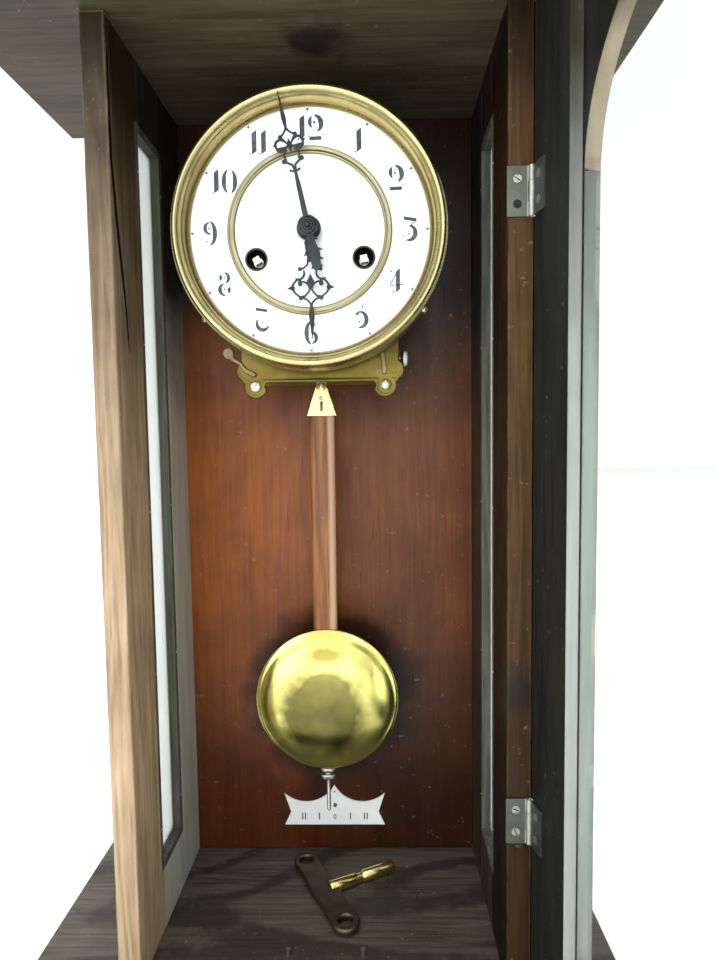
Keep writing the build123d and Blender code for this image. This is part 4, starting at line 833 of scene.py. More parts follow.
def front_stile(node, side, material, seed, cracked, outer_wear):
    """Front stile as a lofted timber: uneven worn arrises, the window rebate and, on the left, a shake."""
    low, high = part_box(node)
    rebate_low, rebate_high = (corner.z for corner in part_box("side_glass_beads"))
    outer, inner = (low.x, high.x) if side < 0 else (high.x, low.x)
    inward = -side
    front, back = low.y, high.y
    rebate_x, rebate_y = 0.008, 0.005
    eased, hair = 0.0006, 0.00005
    stations = sorted({low.z, low.z + eased, high.z, high.z - eased,
                       *np.arange(low.z + 0.004, high.z - 0.002, 0.004),
                       rebate_low - hair, rebate_low + hair, rebate_high - hair, rebate_high + hair})
    mesh_data = bmesh.new()
    rings = []
    for z in stations:
        end_ease = eased if z in (low.z, high.z) else 0.0
        notch = 1.0 if rebate_low < z < rebate_high else 0.01
        wear_outer = outer_wear * (1 + 0.8 * abs(smooth_noise(seed, 1, z * 30))
                                   + 0.4 * smooth_noise(seed, 2, z * 220))
        wear_inner = (0.0009 + 0.0011 * abs(smooth_noise(seed, 3, z * 24))
                      + 0.0005 * smooth_noise(seed, 4, z * 250))
        ripple = 0.00012 * smooth_noise(seed, 5, z * 45)
        x_out, x_in = outer + inward * end_ease, inner - inward * (end_ease + max(ripple, 0))
        y_front, y_back = front + end_ease + max(-ripple, 0), back - end_ease
        ring = []
        for step in range(4):                        # outer front arris
            angle = pi / 2 * step / 3
            ring.append((x_out + inward * wear_outer * (1 - cos(angle)),
                         y_front + wear_outer * (1 - sin(angle))))
        for step in range(5):                        # inner front arris
            angle = pi / 2 * step / 4
            ring.append((x_in - inward * wear_inner * (1 - sin(angle)),
                         y_front + wear_inner * (1 - cos(angle))))
        if cracked:
            behind, wide = shake_at(z)
            y_mid = y_front + behind
            ring += [(x_in, y_mid - wide), (x_in - inward * wide * 1.6, y_mid), (x_in, y_mid + wide)]
        nx, ny = rebate_x * notch, rebate_y * notch
        ring += [(x_in, y_back - ny), (x_in - inward * nx, y_back - ny), (x_in - inward * nx, y_back)]
        ring += [(x_out, y_back)]
        rings.append([mesh_data.verts.new((x, y, z)) for x, y in ring])
    skin(mesh_data, rings, SHAKE_SIDES if cracked else ())
    piece = finish_piece(node + "_worn", mesh_data, material, "case", [node], 40)
    if cracked:
        # The shake's walls take near-black painted shade.
        piece.data.materials.append(materials["painted_shade"])


front_stile("left_front_stile", -1, "left", 11, True, 0.0010)
front_stile("right_front_stile", 1, "right", 27, False, 0.0002)


# ---- dial ----
dial_xz = (dial_centre.x, dial_centre.z)
dial_face_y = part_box("dial_plate")[0].y
dial_origin = Vector((dial_centre.x, dial_face_y, dial_centre.z))
PRINT_Y = dial_face_y + 0.05 * MM   # printed marks start just under the face
NUMERAL_REACH = 61.8
FIGURE_SIZE = 1.25               # of a numeral, over the cell its strokes are drawn in


def numeral_shapes():
    """Strokes of each figure in a cell 12 high and about 8 wide: crescents, bars and dots."""
    def crescent(cx, cy, rx, ry, start, end, thick):
        outer, inner, steps = [], [], 14
        for k in range(steps + 1):
            t = k / steps
            angle = radians(start + (end - start) * t)
            outer.append((cx + rx * cos(angle), cy + ry * sin(angle)))
            cut = max(thick, 1.45) * 1.3 * sin(pi * (0.1 + 0.8 * t))
            inner.append((cx + (rx - cut) * cos(angle), cy + (ry - cut) * sin(angle)))
        return outer + inner[::-1]

    def bar(x0, y0, x1, y1, half):
        """Flat bar whose two ends are cut on the slant."""
        return [(x0, y0 - half * 0.7), (x1, y1 - half * 1.15), (x1, y1 + half * 0.7),
                (x0, y0 + half * 1.15)]

    def post(x, top, foot, half=1.2, slant=1.7):
        return [(x - half, top - slant), (x - half, foot), (x + half, foot + slant), (x + half, top)]

    def dot(x, y, radius=0.5):
        return [(x + radius * cos(2 * pi * k / 12), y + radius * sin(2 * pi * k / 12)) for k in range(12)]

    return {
        "0": [crescent(0, 0, 3.9, 5.9, 105, 250, 1.75), crescent(0, 0, 3.9, 5.9, -75, 70, 1.75)],
        "1": [post(0.2, 6.1, -5.6), dot(-1.7, -5.3, 0.42)],
        "2": [crescent(0.1, 1.9, 3.9, 4.2, -75, 98, 1.9), crescent(-0.7, 2.6, 2.9, 3.0, 112, 248, 1.1),
              dot(-0.5, 2.4, 0.6), bar(-3.0, -5.4, 2.9, -4.8, 0.95), dot(-3.3, -4.0, 0.36),
              dot(3.7, -3.4, 0.36)],
        "3": [bar(-3.0, 5.2, 3.3, 4.6, 0.9), dot(-3.7, 3.7, 0.36), crescent(0, -1.9, 3.8, 4.0, -120, 95, 1.8),
              [(2.5, 4.1), (3.3, 4.3), (0.5, 1.4), (-0.2, 1.5)],
              dot(-0.5, -2.1, 0.5), dot(-3.1, -3.2, 0.4)],
        "4": [post(0.5, 6.1, -5.8, 1.05, 1.6), [(-3.6, -2.5), (3.4, -2.2), (3.4, -1.7), (-3.6, -2.1)],
              [(-3.7, -2.0), (-0.3, 3.9), (-0.3, 2.9), (-3.1, -2.0)], dot(-2.9, 4.6, 0.5),
              dot(-1.8, -5.4, 0.5)],
        "5": [dot(0.9, 5.6, 0.55), crescent(0, -0.6, 3.9, 4.3, -110, 105, 1.7),
              crescent(0, -0.6, 3.9, 4.3, 100, 140, 0.9), dot(-0.9, -1.7, 0.55)],
        "6": [crescent(0.3, 0, 3.9, 6.0, 95, 262, 1.75), crescent(0.4, -2.4, 2.9, 3.1, -95, 110, 1.4),
              dot(0.3, -2.4, 0.5), dot(1.5, 3.9, 0.45)],
        "7": [bar(-3.0, 5.3, 2.8, 4.8, 0.85), dot(-3.7, 3.5, 0.36),
              crescent(0.3, -1.9, 3.5, 3.9, 140, 345, 1.6), dot(0.4, -1.2, 0.45)],
        "8": [crescent(0.1, 3.0, 2.8, 2.8, -80, 90, 1.4), crescent(0.1, 3.0, 2.8, 2.8, 140, 215, 0.5),
              dot(0, 2.9, 0.42), crescent(-0.2, -2.8, 3.2, 3.2, 95, 280, 1.5),
              crescent(-0.2, -2.8, 3.2, 3.2, -40, 30, 0.6), dot(-0.2, -2.7, 0.5)],
        "9": [crescent(-0.3, 0, 3.9, 6.0, -85, 82, 1.75), crescent(-0.4, 2.4, 2.9, 3.1, 85, 290, 1.4),
              dot(-0.4, 2.3, 0.5), dot(-1.6, -4.0, 0.45)],
    }


def dial_numerals():
    """Each figure upright, on a circle; the two figures of 10, 11 and 12 stand side by side."""
    figures = numeral_shapes()
    mesh_data = bmesh.new()
    space = front_space(dial_xz, PRINT_Y)
    for hour in range(1, 13):
        angle = 2 * pi * hour / 12
        text = str(hour)
        pitch = 5.8 if text == "11" else 8.4
        for place, figure in enumerate(text):
            shift = (place - (len(text) - 1) / 2) * pitch + (0.5 if len(text) > 1 else 0.0)
            cell_x, cell_y = NUMERAL_REACH * sin(angle) + shift, NUMERAL_REACH * cos(angle)
            for outline in figures[figure]:
                drawn = [(cell_x + x * FIGURE_SIZE, cell_y + y * FIGURE_SIZE) for x, y in outline]
                prism(mesh_data, drawn, space, 0.0, 0.1)
    finish_piece("dial_numerals", mesh_data, "paint", "case")


def minute_track():
    """Small wedges at the hours and fine strokes at the minutes, just inside the bezel."""
    mesh_data = bmesh.new()
    space = front_space(dial_xz, PRINT_Y)
    for minute in range(60):
        angle = 2 * pi * minute / 60
        out, side = Vector((sin(angle), cos(angle))), Vector((cos(angle), -sin(angle)))
        if minute % 5 == 0:
            shape = [out * 73.2 - side * 0.95, out * 71.2, out * 73.2 + side * 0.95]
        else:
            shape = [out * 72.9 - side * 0.13, out * 72.0 - side * 0.13, out * 72.0 + side * 0.13,
                     out * 72.9 + side * 0.13]
        prism(mesh_data, [tuple(p) for p in shape], space, 0.0, 0.09)
    finish_piece("dial_minute_track", mesh_data, "paint", "case")


dial_numerals()
minute_track()


def bezel():
    """Spun brass bezel: inner lip, hollow, rolled front bead, step and skirt, with two ears below."""
    mesh_data = bmesh.new()
    front, outer = (dial_face_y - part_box("dial_bezel")[0].y) / MM, 84.6
    profile = [(74.0, 0.0), (74.0, 1.4), (75.0, 3.2), (76.4, 4.6), (77.4, 5.0), (78.3, 6.0), (78.9, 8.2),
               (80.2, 9.9), (81.6, front), (83.0, 9.7), (83.8, 8.2), (83.9, 7.1), (84.3, 6.6),
               (outer, 5.7), (outer, -8.0), (outer, -13.4), (83.6, -13.4), (83.5, -1.3), (76.0, -1.3),
               (76.0, 0.0)]
    lathe(mesh_data, rounded(profile, 1.1, 3), dial_origin, TOWARDS_ROOM, 256)
    ear = rounded([(0, -13.2), (2.0, -13.2), (2.2, -5.6), (0.9, -4.6), (0, -4.6)], 0.5, 2)
    for angle in (radians(-143), radians(-34)):
        spot = dial_origin + Vector((cos(angle), 0, sin(angle))) * 85.0 * MM
        lathe(mesh_data, ear, spot, TOWARDS_ROOM, 24)
    finish_piece("bezel_spun", mesh_data, "bezel", "case", ["dial_bezel"], 50)


def inner_ring():
    """Spun ring inside the numerals, with a bead at each side of a shallow hollow."""
    mesh_data = bmesh.new()
    profile = [(46.2, 0), (46.2, 0.9), (47.0, 1.7), (48.2, 1.3), (49.0, 1.3), (50.2, 1.9), (51.0, 0.9),
               (51.0, 0)]
    lathe(mesh_data, rounded(profile, 0.5, 3), dial_origin, TOWARDS_ROOM, 192)
    finish_piece("inner_ring_spun", mesh_data, "ring", "case", ["dial_inner_ring"], 60)


bezel()
inner_ring()


# ---- hands ----
# Minute hand: hub, blade, lozenge of the knot, swelling tip and leaf tail.
MINUTE_MIDDLE = [
    (0, 0, 6.3), ([(0, 4), (0, 14), (0, 24), (0, 33.5)], [1.7, 1.55, 1.45, 0.85]),
    ([(0, 45.4), (0, 49.6)], [0.2, 1.6]), ([(0, 49.6), (0, 53.2)], [1.6, 0.2]),
    ([(0, 59.8), (0, 66), (0, 72), (0, 82)], [0.7, 1.45, 0.85, 0.2]),
    ([(0, -4), (0, -10), (0, -17), (0, -24.5), (0, -26)], [1.7, 2.3, 3.6, 2.6, 1.2])]
# Its right half: the leaf's barbs and the pierced knot of scrolls.
MINUTE_SCROLLS = [
    *[([(1.6, root), (reach, root - 1.6)], [1.3, 0.15])
      for root, reach in ((-7.6, 3.9), (-14.2, 5.6), (-19.6, 4.9), (-24.0, 3.4))],
    ([(0, 33), (2.4, 34.2)], [0.55, 0.5]), (2.6, 34.2, 0.75),
    ([(0.2, 34), (0.9, 37.4), (3.4, 39.2), (5.2, 40.4)], [0.8, 0.6, 0.6, 0.8]),
    (5.4, 40.4, 1.35),
    ((0.9, 43.4), 3.6, -40, 62, 0.5, 0.6),
    ([(2.9, 46.4), (5.6, 47.2), (7.6, 48.4)], [0.7, 1.5, 1.1]),
    (5.9, 47.6, 1.7),
    ((5.4, 50.6), 3.1, -40, 150, 0.55, 0.75),
    ([(8.2, 50.9), (9.8, 51.2)], [0.9, 0.15]),
    ([(0.2, 49.2), (2.8, 48.4), (5.6, 48.4)], [0.9, 0.6, 0.9]),
    (4.6, 55.2, 1.3),
    ([(1.2, 50.4), (3.2, 53.6), (4.4, 55)], [0.5, 0.5, 0.6]),
    ([(4.6, 55.2), (2.6, 56.4), (0.7, 58.6), (0, 60.2)], [0.7, 0.5, 0.55, 0.75])]

# Hour hand: hub, short blade, lozenge and spear tip.
HOUR_MIDDLE = [
    (0, 0, 7.4), ([(0, 5), (0, 9), (0, 14), (0, 18.6)], [2.2, 2.9, 2.4, 1.2]),
    ([(0, 27.4), (0, 32.2)], [0.2, 2.3]), ([(0, 32.2), (0, 35.6)], [2.3, 0.5]),
    ([(0, 45.8), (0, 52), (0, 58), (0, 65)], [0.8, 1.75, 1.25, 0.25])]
# Its right half: two tiers of scrolls and a side dart.
HOUR_SCROLLS = [
    ([(1.6, 15.4), (3.6, 16.4)], [0.6, 0.2]),
    ([(1.0, 18), (1.6, 21.6), (3.8, 23.6), (6.0, 24.0)], [0.7, 0.5, 0.5, 0.7]),
    (6.3, 24.2, 1.25),
    ((7.6, 26.6), 3.9, 200, 98, 0.5, 0.65),
    ([(7.0, 30.6), (9.4, 29.6)], [0.7, 0.25]),
    ([(6.6, 30.4), (6.4, 33)], [0.8, 1.35]), (6.5, 33, 1.35),
    ([(8.0, 30.2), (10.2, 32.4), (11.6, 35.2)], [0.65, 0.6, 0.9]),
    ([(11.2, 35.4), (14.2, 35.6)], [1.5, 0.2]),
    ([(11.6, 35.6), (9.6, 38.6), (7.2, 40.6), (5.8, 41.6)], [0.8, 0.55, 0.6, 0.9]),
    (6.3, 41.6, 1.3),
    ((5.6, 36.6), 4.9, 262, 186, 0.5, 0.55),
    ([(0, 35.2), (1.4, 38.0), (3.6, 40.4), (6.0, 41.0)], [0.5, 0.5, 0.55, 0.8]),
    ([(5.2, 41.4), (2.8, 42.4), (0.9, 44.4), (0, 46.2)], [0.7, 0.5, 0.55, 0.8])]


HAND_STEP = 0.22                 # of the grid that a hand is cut out on


def hand(name, axial, paired, bore, length, span, node, clockwise, body):
    """Hand cut out of sheet, turned clockwise from twelve by the degrees given.

    axial parts lie on its line and paired ones on both sides; length scales all that is above the centre.
    """
    def field(x, y):
        y = np.where(y > 0, y / length, y)
        outline = np.maximum(union(x, y, axial), both_sides(union, x, y, paired))
        return np.minimum(outline, -disc(x, y, 0, 0, bore))

    mesh_data = bmesh.new()
    low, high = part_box(node)
    space = turned_space(dial_xz, high.y, radians(clockwise))
    sheet(mesh_data, field, span, HAND_STEP, (high.y - low.y) / MM, space, 0.25)
    dissolve_flats(mesh_data)
    finish_piece(name, mesh_data, "hands", body, [node], 30)


hand("minute_hand_pierced", MINUTE_MIDDLE, MINUTE_SCROLLS, 2.4, 0.965, ((-11, 11), (-28, 83)),
     "minute_hand", -12, "minute_train")
hand("hour_hand_pierced", HOUR_MIDDLE, HOUR_SCROLLS, 4.2, 1.0, ((-15, 15), (-8, 66)),
     "hour_hand", 179, "hour_train")


def collet():
    """Turned washer that holds the minute hand."""
    mesh_data = bmesh.new()
    low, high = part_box("hand_collet")
    depth = (high.y - low.y) / MM
    profile = [(1.55, 0), (5.0, 0), (5.0, 0.5), (4.2, 1.0), (3.3, 0.8), (2.9, depth), (1.55, depth)]
    lathe(mesh_data, rounded(profile, 0.3, 3), Vector((dial_centre.x, high.y, dial_centre.z)),
          TOWARDS_ROOM, 64)
    finish_piece("hand_collet_turned", mesh_data, "hands", "minute_train", ["hand_collet"], 50)


collet()


# ---- movement bracket, its screws and levers ----
bracket_low, bracket_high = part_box("movement_bracket")
LUG_X, LUG_RADIUS = 43.0, 7.6
lug_z = bracket_low.z + LUG_RADIUS * MM
bracket_face_y = bracket_low.y
bracket_top = (bracket_high.z - lug_z) / MM
WALL_STRAP, ARM_FOOT, ARM_TOP = (height - HANGER_HEIGHT for height in (370, 374, 399.7))
THUMB_Y, THUMB_HEIGHT, CAP_PIN_HEIGHT = -78, 382 - HANGER_HEIGHT, 360 - HANGER_HEIGHT


def bracket_shape(x, y):
    """Front of the bracket, x from the middle and y up from the centres of the lugs."""
    plate = panel(x, y, [(-52, 2.6), (52, 2.6), (52, bracket_top), (-52, bracket_top)])

    def wing(x, y):
        return np.maximum(disc(x, y, LUG_X, 0, LUG_RADIUS), disc(x, y, 49, 10, 6.6))

    hollow, holes = both_sides(disc, x, y, 34.2, 0.2, 2.3), both_sides(disc, x, y, LUG_X, 0, 1.9)
    return np.minimum.reduce([np.maximum(plate, both_sides(wing, x, y)), -holes, -hollow])


def bracket():
    """Pressed brass front with a raised rim round its lower edge, two arms and the back strap."""
    mesh_data = bmesh.new()

    def rim(x, y, inside):
        lower = np.clip((13.0 - y) / 4.0, 0, 1)
        ridge = np.exp(-((inside - 1.1) / 0.85) ** 2)
        return 0.42 * ridge * lower

    def upright(right, up, y):
        return Vector((right * MM, y, up * MM))

    plate_back, wall = bracket_face_y + 1.6 * MM, bracket_high.y
    sheet(mesh_data, bracket_shape, ((-56, 56), (-8, bracket_top + 0.2)), 0.6, 1.1,
          front_space((0, lug_z), plate_back), 0.3, rim)
    corners = rounded([(48.0, ARM_FOOT), (50.0, ARM_FOOT), (50.0, ARM_TOP), (48.0, ARM_TOP)], 0.4, 2)
    for side in (-1, 1):
        prism(mesh_data, [(side * x, z) for x, z in corners], upright, plate_back, wall - 1.6 * MM)
    strap = rounded([(-50, WALL_STRAP), (50, WALL_STRAP), (50, ARM_TOP), (-50, ARM_TOP)], 2.0, 4)
    prism(mesh_data, strap, upright, wall - 1.6 * MM, wall)
    finish_piece("bracket_pressed", mesh_data, "bracket", "case", ["movement_bracket"], 40)


bracket()


def screw_head(mesh_data, centre, radius, height, slot_turn, slot_half, space_y):
    """Slotted cheese-head facing the room: a domed disc with a slot cut through it."""
    c, s = cos(radians(slot_turn)), sin(radians(slot_turn))

    def shape(x, y):
        across = np.abs(-s * x + c * y)
        return np.minimum(disc(x, y, 0, 0, radius), across - slot_half)

    def dome(x, y, inside):
        return -height * 0.25 * (np.hypot(x, y) / radius) ** 2

    span = (-radius - 0.2, radius + 0.2)
    sheet(mesh_data, shape, (span, span), radius / 14, height, front_space(centre, space_y),
          min(0.25, height * 0.4), dome)
    bottom = rounded([(0, 0), (radius * 0.97, 0), (radius * 0.97, height * 0.4), (0, height * 0.4)], 0.05, 1)
    lathe(mesh_data, bottom, Vector((centre[0], space_y, centre[1])), TOWARDS_ROOM, 40)


def clamps():
    """Slotted screws in the lugs and a knurled thumb screw on the right arm."""
    mesh_data = bmesh.new()
    face = bracket_face_y + 0.2 * MM
    screw_head(mesh_data, (-LUG_X * MM, lug_z), 3.3, 2.0, 40, 0.45, face)
    screw_head(mesh_data, (LUG_X * MM, lug_z), 2.7, 2.0, 90, 0.4, face)
    shank = [(0, -10), (1.55, -10), (1.55, 0.5), (0, 0.5)]
    for side in (-1, 1):
        lathe(mesh_data, shank, Vector((side * LUG_X * MM, face, lug_z)), TOWARDS_ROOM, 24)
    thumb = Vector((50, THUMB_Y, THUMB_HEIGHT)) * MM
    head = (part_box("clamp_screws")[1].x - thumb.x) / MM
    profile = [(0, 0), (1.5, 0), (1.5, 3.6), (4.6, 4.4), (5.9, 5.0), (5.9, head - 0.7), (5.2, head),
               (2.0, head), (0, head - 0.4)]
    eased = [(r, h) for r, h in rounded(profile, 0.35, 3) if r > 0.02]

    def knurl(angle, height):
        return -0.22 * (0.5 + 0.5 * cos(48 * angle)) if 5 < height < head - 0.6 else 0.0

    lathe(mesh_data, [(0, 0), *eased, (0, head - 0.4)], thumb, X, 144, knurl)
    finish_piece("clamp_screws_turned", mesh_data, "steel", "case", ["clamp_screws"], 40)


def levers():
    """Left lever with its round knob, and the slim catch on the right."""
    mesh_data = bmesh.new()
    space = front_space((0, lug_z), bracket_face_y)

    def left(x, y):
        arm = stroke(x, y, [(-44, 8.0), (-49.5, 10.8), (-52.6, 15.4), (-56.6, 17.4), (-60, 20.6)],
                     [1.7, 1.5, 1.2, 1.4, 1.7])
        return np.maximum(arm, disc(x, y, -60.2, 21.9, 3.8))

    def right(x, y):
        return stroke(x, y, [(42.4, 8.8), (41.8, 16), (40.8, 22)], [1.7, 1.4, 1.8])

    sheet(mesh_data, left, ((-65, -39), (5, 28)), 0.35, 1.6, space, 0.4)
    sheet(mesh_data, right, ((38, 46), (5, 25)), 0.35, 1.6, space, 0.4)
    dissolve_flats(mesh_data)
    finish_piece("clamp_levers_filed", mesh_data, "lever", "case", ["clamp_levers"], 40)


clamps()
levers()


# ---- pendulum ----
def bob():
    """Spun bob: two shallow domes that meet at a rolled rim."""
    mesh_data = bmesh.new()
    low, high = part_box("pendulum_bob")
    radius = (high.x - low.x) / 2 / MM
    half = (high.y - low.y) / 2 / MM
    rim_in, rim_half = radius - 2.2, 0.9
    steps = 26
    front = []
    for k in range(steps + 1):
        r = rim_in * k / steps
        front.append((r, rim_half + (half - rim_half) * (1 - (r / rim_in) ** 2) ** 0.92))
    edge = [(radius - 0.4, 0.8), (radius, 0.35), (radius, -0.35), (radius - 0.4, -0.8)]
    lathe(mesh_data, front + edge + [(r, -h) for r, h in reversed(front)], bob_centre, TOWARDS_ROOM, 192)
    finish_piece("bob_spun", mesh_data, "bob", "pendulum", ["pendulum_bob"], 60)


def cap():
    """Brass cap: two pressed cheeks with a hole and a slot, and the pin between them."""
    mesh_data = bmesh.new()
    low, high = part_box("pendulum_cap")
    tall = (high.z - low.z) / MM
    centre = (middle("pendulum_cap").x, low.z)
    sheet_depth = 1.0

    def cheek(x, y):
        sides = panel(x, y, [(-10.4, 0), (10.4, 0), (4.6, tall - 4.6), (-4.6, tall - 4.6)])
        body = np.maximum(sides, disc(x, y, 0, tall - 4.6, 4.6))
        slot = panel(x, y, [(-0.8, 3.6), (0.8, 3.6), (0.8, 10.4), (-0.8, 10.4)])
        return np.minimum(body, -np.maximum(disc(x, y, 0, 12.6, 1.25), slot))

    for back in (low.y + sheet_depth * MM, high.y):
        sheet(mesh_data, cheek, ((-11, 11), (-0.5, tall + 0.5)), 0.25, sheet_depth,
              front_space(centre, back), 0.25)
    dissolve_flats(mesh_data)
    between = (high.y - low.y) / MM - 2 * sheet_depth
    lathe(mesh_data, [(0, 0), (1.2, 0), (1.2, between), (0, between)],
          Vector((centre[0], high.y - sheet_depth * MM, CAP_PIN_HEIGHT * MM)), TOWARDS_ROOM, 24)
    finish_piece("cap_pressed", mesh_data, "brass", "pendulum", ["pendulum_cap"], 40)


def rating_parts():
    """Threaded rod and the knurled double nut under the bob."""
    low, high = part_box("rating_screw")
    centre = middle("rating_screw")
    pitch, length = 0.7, (high.z - low.z) / MM
    steps = int(length / pitch * 6)
    turns = [(1.32, 1.2 + (length - 1.2) * k / steps) for k in range(steps + 1)]
    mesh_data = bmesh.new()

    def thread(angle, height):
        wave = (angle / (2 * pi) + height / pitch) % 1.0
        return (abs(wave - 0.5) * 2 - 0.5) * 0.34 if height >= 1.0 else 0.0

    outline = [(0, 0), (0.5, 0), *turns, (0, length)]
    lathe(mesh_data, outline, Vector((centre.x, centre.y, low.z)), Z, 24, thread)
    finish_piece("rating_screw_threaded", mesh_data, "steel", "pendulum", ["rating_screw"], 60)

    low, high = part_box("rating_nut")
    centre = middle("rating_nut")
    mesh_data = bmesh.new()
    tall = (high.z - low.z) / MM
    profile = [(1.6, 0), (4.6, 0), (5.2, 0.6), (5.2, 2.8), (4.6, 3.4), (3.4, 3.6), (3.4, 5.0), (4.9, 5.2),
               (5.45, 5.8), (5.45, tall - 0.6), (4.9, tall), (1.6, tall)]
    detailed = []
    for (r, h), (r2, h2) in zip(profile, profile[1:] + profile[:1]):
        pieces = 3 if abs(h2 - h) > 1.2 else 1
        detailed += [(r + (r2 - r) * k / pieces, h + (h2 - h) * k / pieces) for k in range(pieces)]

    def knurl(angle, height):
        on_band = 0.5 < height < 2.9 or 5.7 < height < tall - 0.5
        return -0.25 * (0.5 + 0.5 * cos(36 * angle)) if on_band else 0.0

    lathe(mesh_data, detailed, Vector((centre.x, centre.y, low.z)), Z, 144, knurl)
    finish_piece("rating_nut_knurled", mesh_data, "steel", "rating_nut", ["rating_nut"], 40)


bob()
cap()
rating_parts()
soften(["pendulum_rod"], 0.0003)


# ---- beat scale marks ----
def scale_marks():
    """Six division strokes round a zero on the beat scale, and its two pins."""
    low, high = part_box("beat_scale")
    centre = (middle("beat_scale").x, low.z)
    mesh_data = bmesh.new()
    space = front_space(centre, low.y + 0.05 * MM)
    foot, top, half = 4.4, 9.8, 0.45
    for x in (-25.8, -23.6, -12.4, 12.4, 23.6, 25.8):
        stripe = [(x - half, foot), (x + half, foot), (x + half, top), (x - half, top)]
        prism(mesh_data, stripe, space, 0.0, 0.1)
    count = 14

    def oval(wide, tall):
        return [(wide * cos(2 * pi * k / count), 6.6 + tall * sin(2 * pi * k / count)) for k in range(count)]

    outer, inner = oval(1.1, 2.1), oval(0.55, 1.5)
    for k in range(count):
        after = (k + 1) % count
        prism(mesh_data, [outer[k], outer[after], inner[after], inner[k]], space, 0.0, 0.1)
    finish_piece("beat_scale_marks", mesh_data, "paint", "case")
    mesh_data = bmesh.new()
    tall = (high.z - low.z) / MM
    for x, z, radius in ((0, tall - 5.6, 0.8), (0.3, tall - 16.6, 1.7)):
        head = rounded([(0, 0), (radius, 0), (radius * 0.8, radius * 0.5), (0, radius * 0.62)], 0.2, 2)
        lathe(mesh_data, head, Vector((centre[0] + x * MM, low.y, low.z + z * MM)), TOWARDS_ROOM, 32)
    finish_piece("beat_scale_pins", mesh_data, "hinge", "case")


scale_marks()


# ---- winding key ----
key_low, key_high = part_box("key_wing")
key_middle = middle("key_wing")


def key_space(clockwise, base):
    """Plan view of the floor: x along the wings, y along the shaft, height upwards."""
    along = Vector((cos(clockwise), -sin(clockwise), 0))
    across = Vector((sin(clockwise), cos(clockwise), 0))

    def to_space(x, y, height):
        return Vector((key_middle.x, key_middle.y, base)) + (along * x + across * y + Z * height) * MM
    return to_space, across


def key():
    """Cast wing with two round ears, and the stepped, hollow-ended shaft."""
    thick = (key_high.z - key_low.z) / MM
    space, across = key_space(radians(-118), key_low.z)

    def wing(x, y):
        def half(x, y):
            return np.maximum(disc(x, y, 35, 0, 9.7),
                              stroke(x, y, [(0, 0), (6, 0), (16, 0), (30, 0)], [9.9, 9.7, 8.8, 9.2]))
        return np.minimum(both_sides(half, x, y), -both_sides(disc, x, y, 35, 0, 5.0))

    mesh_data = bmesh.new()
    sheet(mesh_data, wing, ((-45.5, 45.5), (-10.5, 10.5)), 0.5, thick, space, 1.1)
    finish_piece("key_wing_cast", mesh_data, "iron", "winding_key", ["key_wing"], 50)
    low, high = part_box("key_shaft")
    start = Vector((key_middle.x, key_middle.y, (low.z + high.z) / 2))
    heel = 4.0                   # where the shaft starts, from the middle of the wing
    profile = [(0, heel), (4.0, heel), (4.3, heel + 0.8), (4.3, 24.0), (3.7, 24.8), (3.1, 25.4), (3.1, 29.6),
               (3.7, 30.2), (4.2, 31.0), (4.2, 55.2), (3.8, 56.0), (2.5, 56.0), (2.3, 55.0), (2.3, 44.0),
               (0, 44.0)]
    mesh_data = bmesh.new()
    lathe(mesh_data, profile, start, -across, 64)
    finish_piece("key_shaft_turned", mesh_data, "brass", "winding_key", ["key_shaft"], 40)


key()


# ---- nails and small trim ----
def nail_head(mesh_data, spot, direction, radius):
    head = [(0, 0), (1, 0), (0.85, 0.35), (0.4, 0.55), (0, 0.6)]
    lathe(mesh_data, [(r * radius, h * radius) for r, h in head], spot, direction, 20)


def case_nails():
    """Pins in the beads of both side windows."""
    mesh_data = bmesh.new()
    bead_low, bead_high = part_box("side_glass_beads")
    inset = 2.5 * MM
    for side in (-1, 1):
        for share in (0.06, 0.28, 0.5, 0.72, 0.94):
            z = bead_low.z + (bead_high.z - bead_low.z) * share
            for y in (bead_high.y - inset, bead_low.y + inset):
                nail_head(mesh_data, Vector((side * back_high.x, y, z)), Vector((-side, 0, 0)), 0.75)
    finish_piece("bead_nails", mesh_data, "steel", "case")


case_nails()


def screw_slots():
    """Slots painted near black as shade across three screw heads on the case's leaves; the fourth hole has
    the bent nail.
    """
    mesh_data = bmesh.new()
    low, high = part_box("case_hinge_leaves")
    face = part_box("case_screws")[0].y - 0.02 * MM
    half_leaf, rise = 14 * MM, 6.75 * MM
    upper, lower = high.z - half_leaf, low.z + half_leaf
    for height, turn in ((upper + rise, 35), (lower + rise, 20), (lower - rise, 65)):
        space = turned_space((LEAF_SCREW_X, height), face, radians(turn))
        prism(mesh_data, [(-2.1, -0.28), (2.1, -0.28), (2.1, 0.28), (-2.1, 0.28)], space, -0.02, 0.03)
    finish_piece("hinge_screw_slots", mesh_data, "dark", "case")


screw_slots()


def bent_nail():
    """Iron nail hammered over and flattened in front of the lower screw of the top hinge."""
    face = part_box("case_screws")[0].y / MM - 0.06
    path = [(113.6, -90.4), (113.5, -89.0), (113.9, -87.7), (115.2, -87.0), (116.4, -87.8), (116.7, -89.2),
            (116.6, -90.2)]
    mesh_data = bmesh.new()
    tube(mesh_data, [Vector((x, face, z)) * MM for x, z in path], 0.5 * MM, 10)
    flattened = 0.16
    for vert in mesh_data.verts:
        vert.co.y = face * MM + flattened * (vert.co.y - face * MM)
    finish_piece("hinge_nail_bent", mesh_data, "nail", "case")


bent_nail()


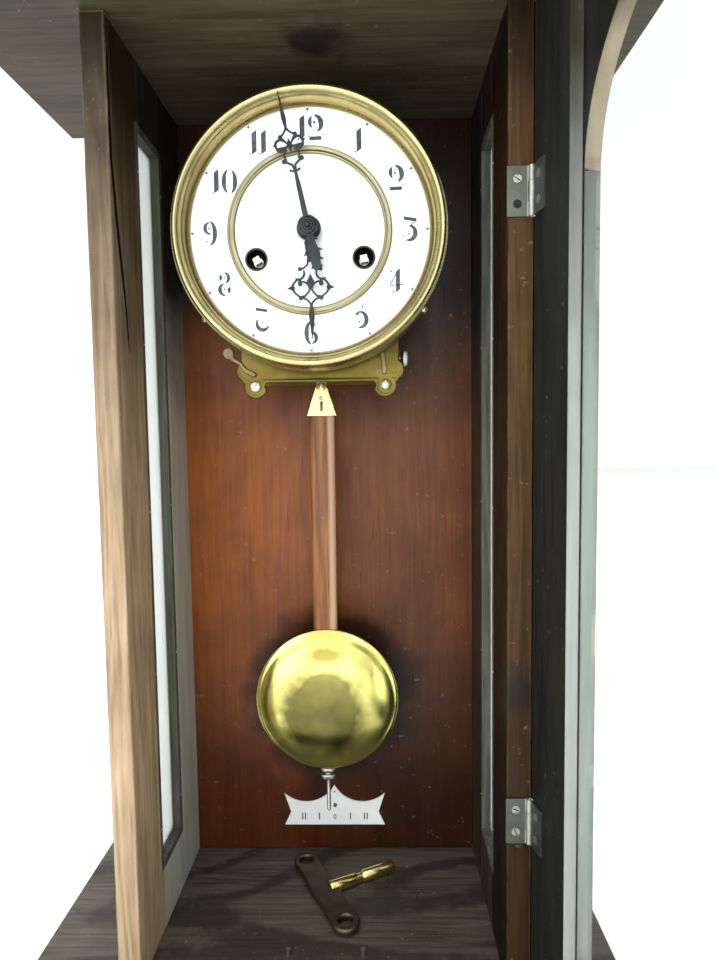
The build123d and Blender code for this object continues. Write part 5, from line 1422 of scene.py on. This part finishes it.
def hinge_bead():
    """Thin near-black strip on the case's hinge side: painted shade that also shuts out the light beside the
    open door.
    """
    mesh_data = bmesh.new()
    profile = [(123.95, -145.5), (125.3, -145.5), (125.65, -144.9), (125.65, -142.2), (125.2, -141.5),
               (123.95, -141.5)]
    low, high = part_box("right_front_stile")
    prism(mesh_data, rounded(profile, 0.3, 3), lambda x, y, z: Vector((x * MM, y * MM, z * MM)),
          low.z / MM + 1, high.z / MM - 1)
    finish_piece("hinge_side_shade_strip", mesh_data, "painted_shade", "case")


hinge_bead()


def arbor_end():
    """Domed steel end of the centre arbor, in front of the collet."""
    low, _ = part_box("centre_wheel")
    mesh_data = bmesh.new()
    dome = [(0, -0.6), (1.62, -0.6), (1.62, 0.1), (1.3, 0.45), (0.7, 0.62), (0, 0.68)]
    lathe(mesh_data, dome, Vector((dial_centre.x, low.y, dial_centre.z)), TOWARDS_ROOM, 32)
    finish_piece("arbor_end_domed", mesh_data, "hands", "centre_wheel")


arbor_end()


# ---- stage: floor, light and camera ----
def floor():
    """Pale floor just below the clock."""
    s = Shader("stage_pale")
    s.set(Base_Color=(0.86, 0.87, 0.87, 1.0), Roughness=0.9)
    mesh = bpy.data.meshes.new("stage_floor")
    size, level = 6.0, cad_low.z - 0.002
    corners = [(-size, -size, level), (size, -size, level), (size, size, level), (-size, size, level)]
    mesh.from_pydata(corners, [], [(0, 1, 2, 3)])
    mesh.materials.append(s.material)
    placed("stage_floor", mesh)


def softbox(name, spot, target, size, power):
    light = bpy.data.lights.new(name, "AREA")
    light.shape, light.size, light.energy = "SQUARE", size, power
    obj = placed(name, light)
    obj.location = spot
    obj.rotation_euler = (Vector(target) - Vector(spot)).to_track_quat("-Z", "Y").to_euler()


def daylight():
    """Even white surroundings, and plain view colours, which keep the contrast of the dark timber."""
    world = bpy.data.worlds.new("studio")
    bpy.context.scene.world = world
    world.use_nodes = True
    background = world.node_tree.nodes["Background"]
    background.inputs["Color"].default_value = (1.0, 1.0, 1.0, 1.0)
    background.inputs["Strength"].default_value = 1.2
    bpy.context.scene.view_settings.view_transform = "Standard"


def camera():
    """Camera of the photograph as estimated: close, a little right of the middle, lens 24 mm."""
    yaw, pitch, roll = radians(-1.268), radians(-3.905), radians(-0.80)
    ahead = Vector((sin(yaw) * cos(pitch), cos(yaw) * cos(pitch), sin(pitch)))
    level_right = Vector((cos(yaw), -sin(yaw), 0))
    level_up = level_right.cross(ahead)
    right = level_right * cos(roll) + level_up * sin(roll)
    up = level_up * cos(roll) - level_right * sin(roll)
    data = bpy.data.cameras.new("camera")
    data.lens, data.sensor_width = 24.0, 36.0
    obj = placed("camera", data)
    turn = Matrix((right, up, -ahead)).transposed()
    obj.matrix_world = Matrix.Translation((0.0347, -0.5111, -0.2146)) @ turn.to_4x4()
    data.clip_start = 0.01
    bpy.context.scene.camera = obj


floor()
daylight()
softbox("key_light", (-0.6, -1.9, -0.35), (0, 0, -0.40), 2.4, 34)
softbox("top_light", (0, -0.3, 2.4), (0, -0.3, -1), 3.0, 150)
camera()
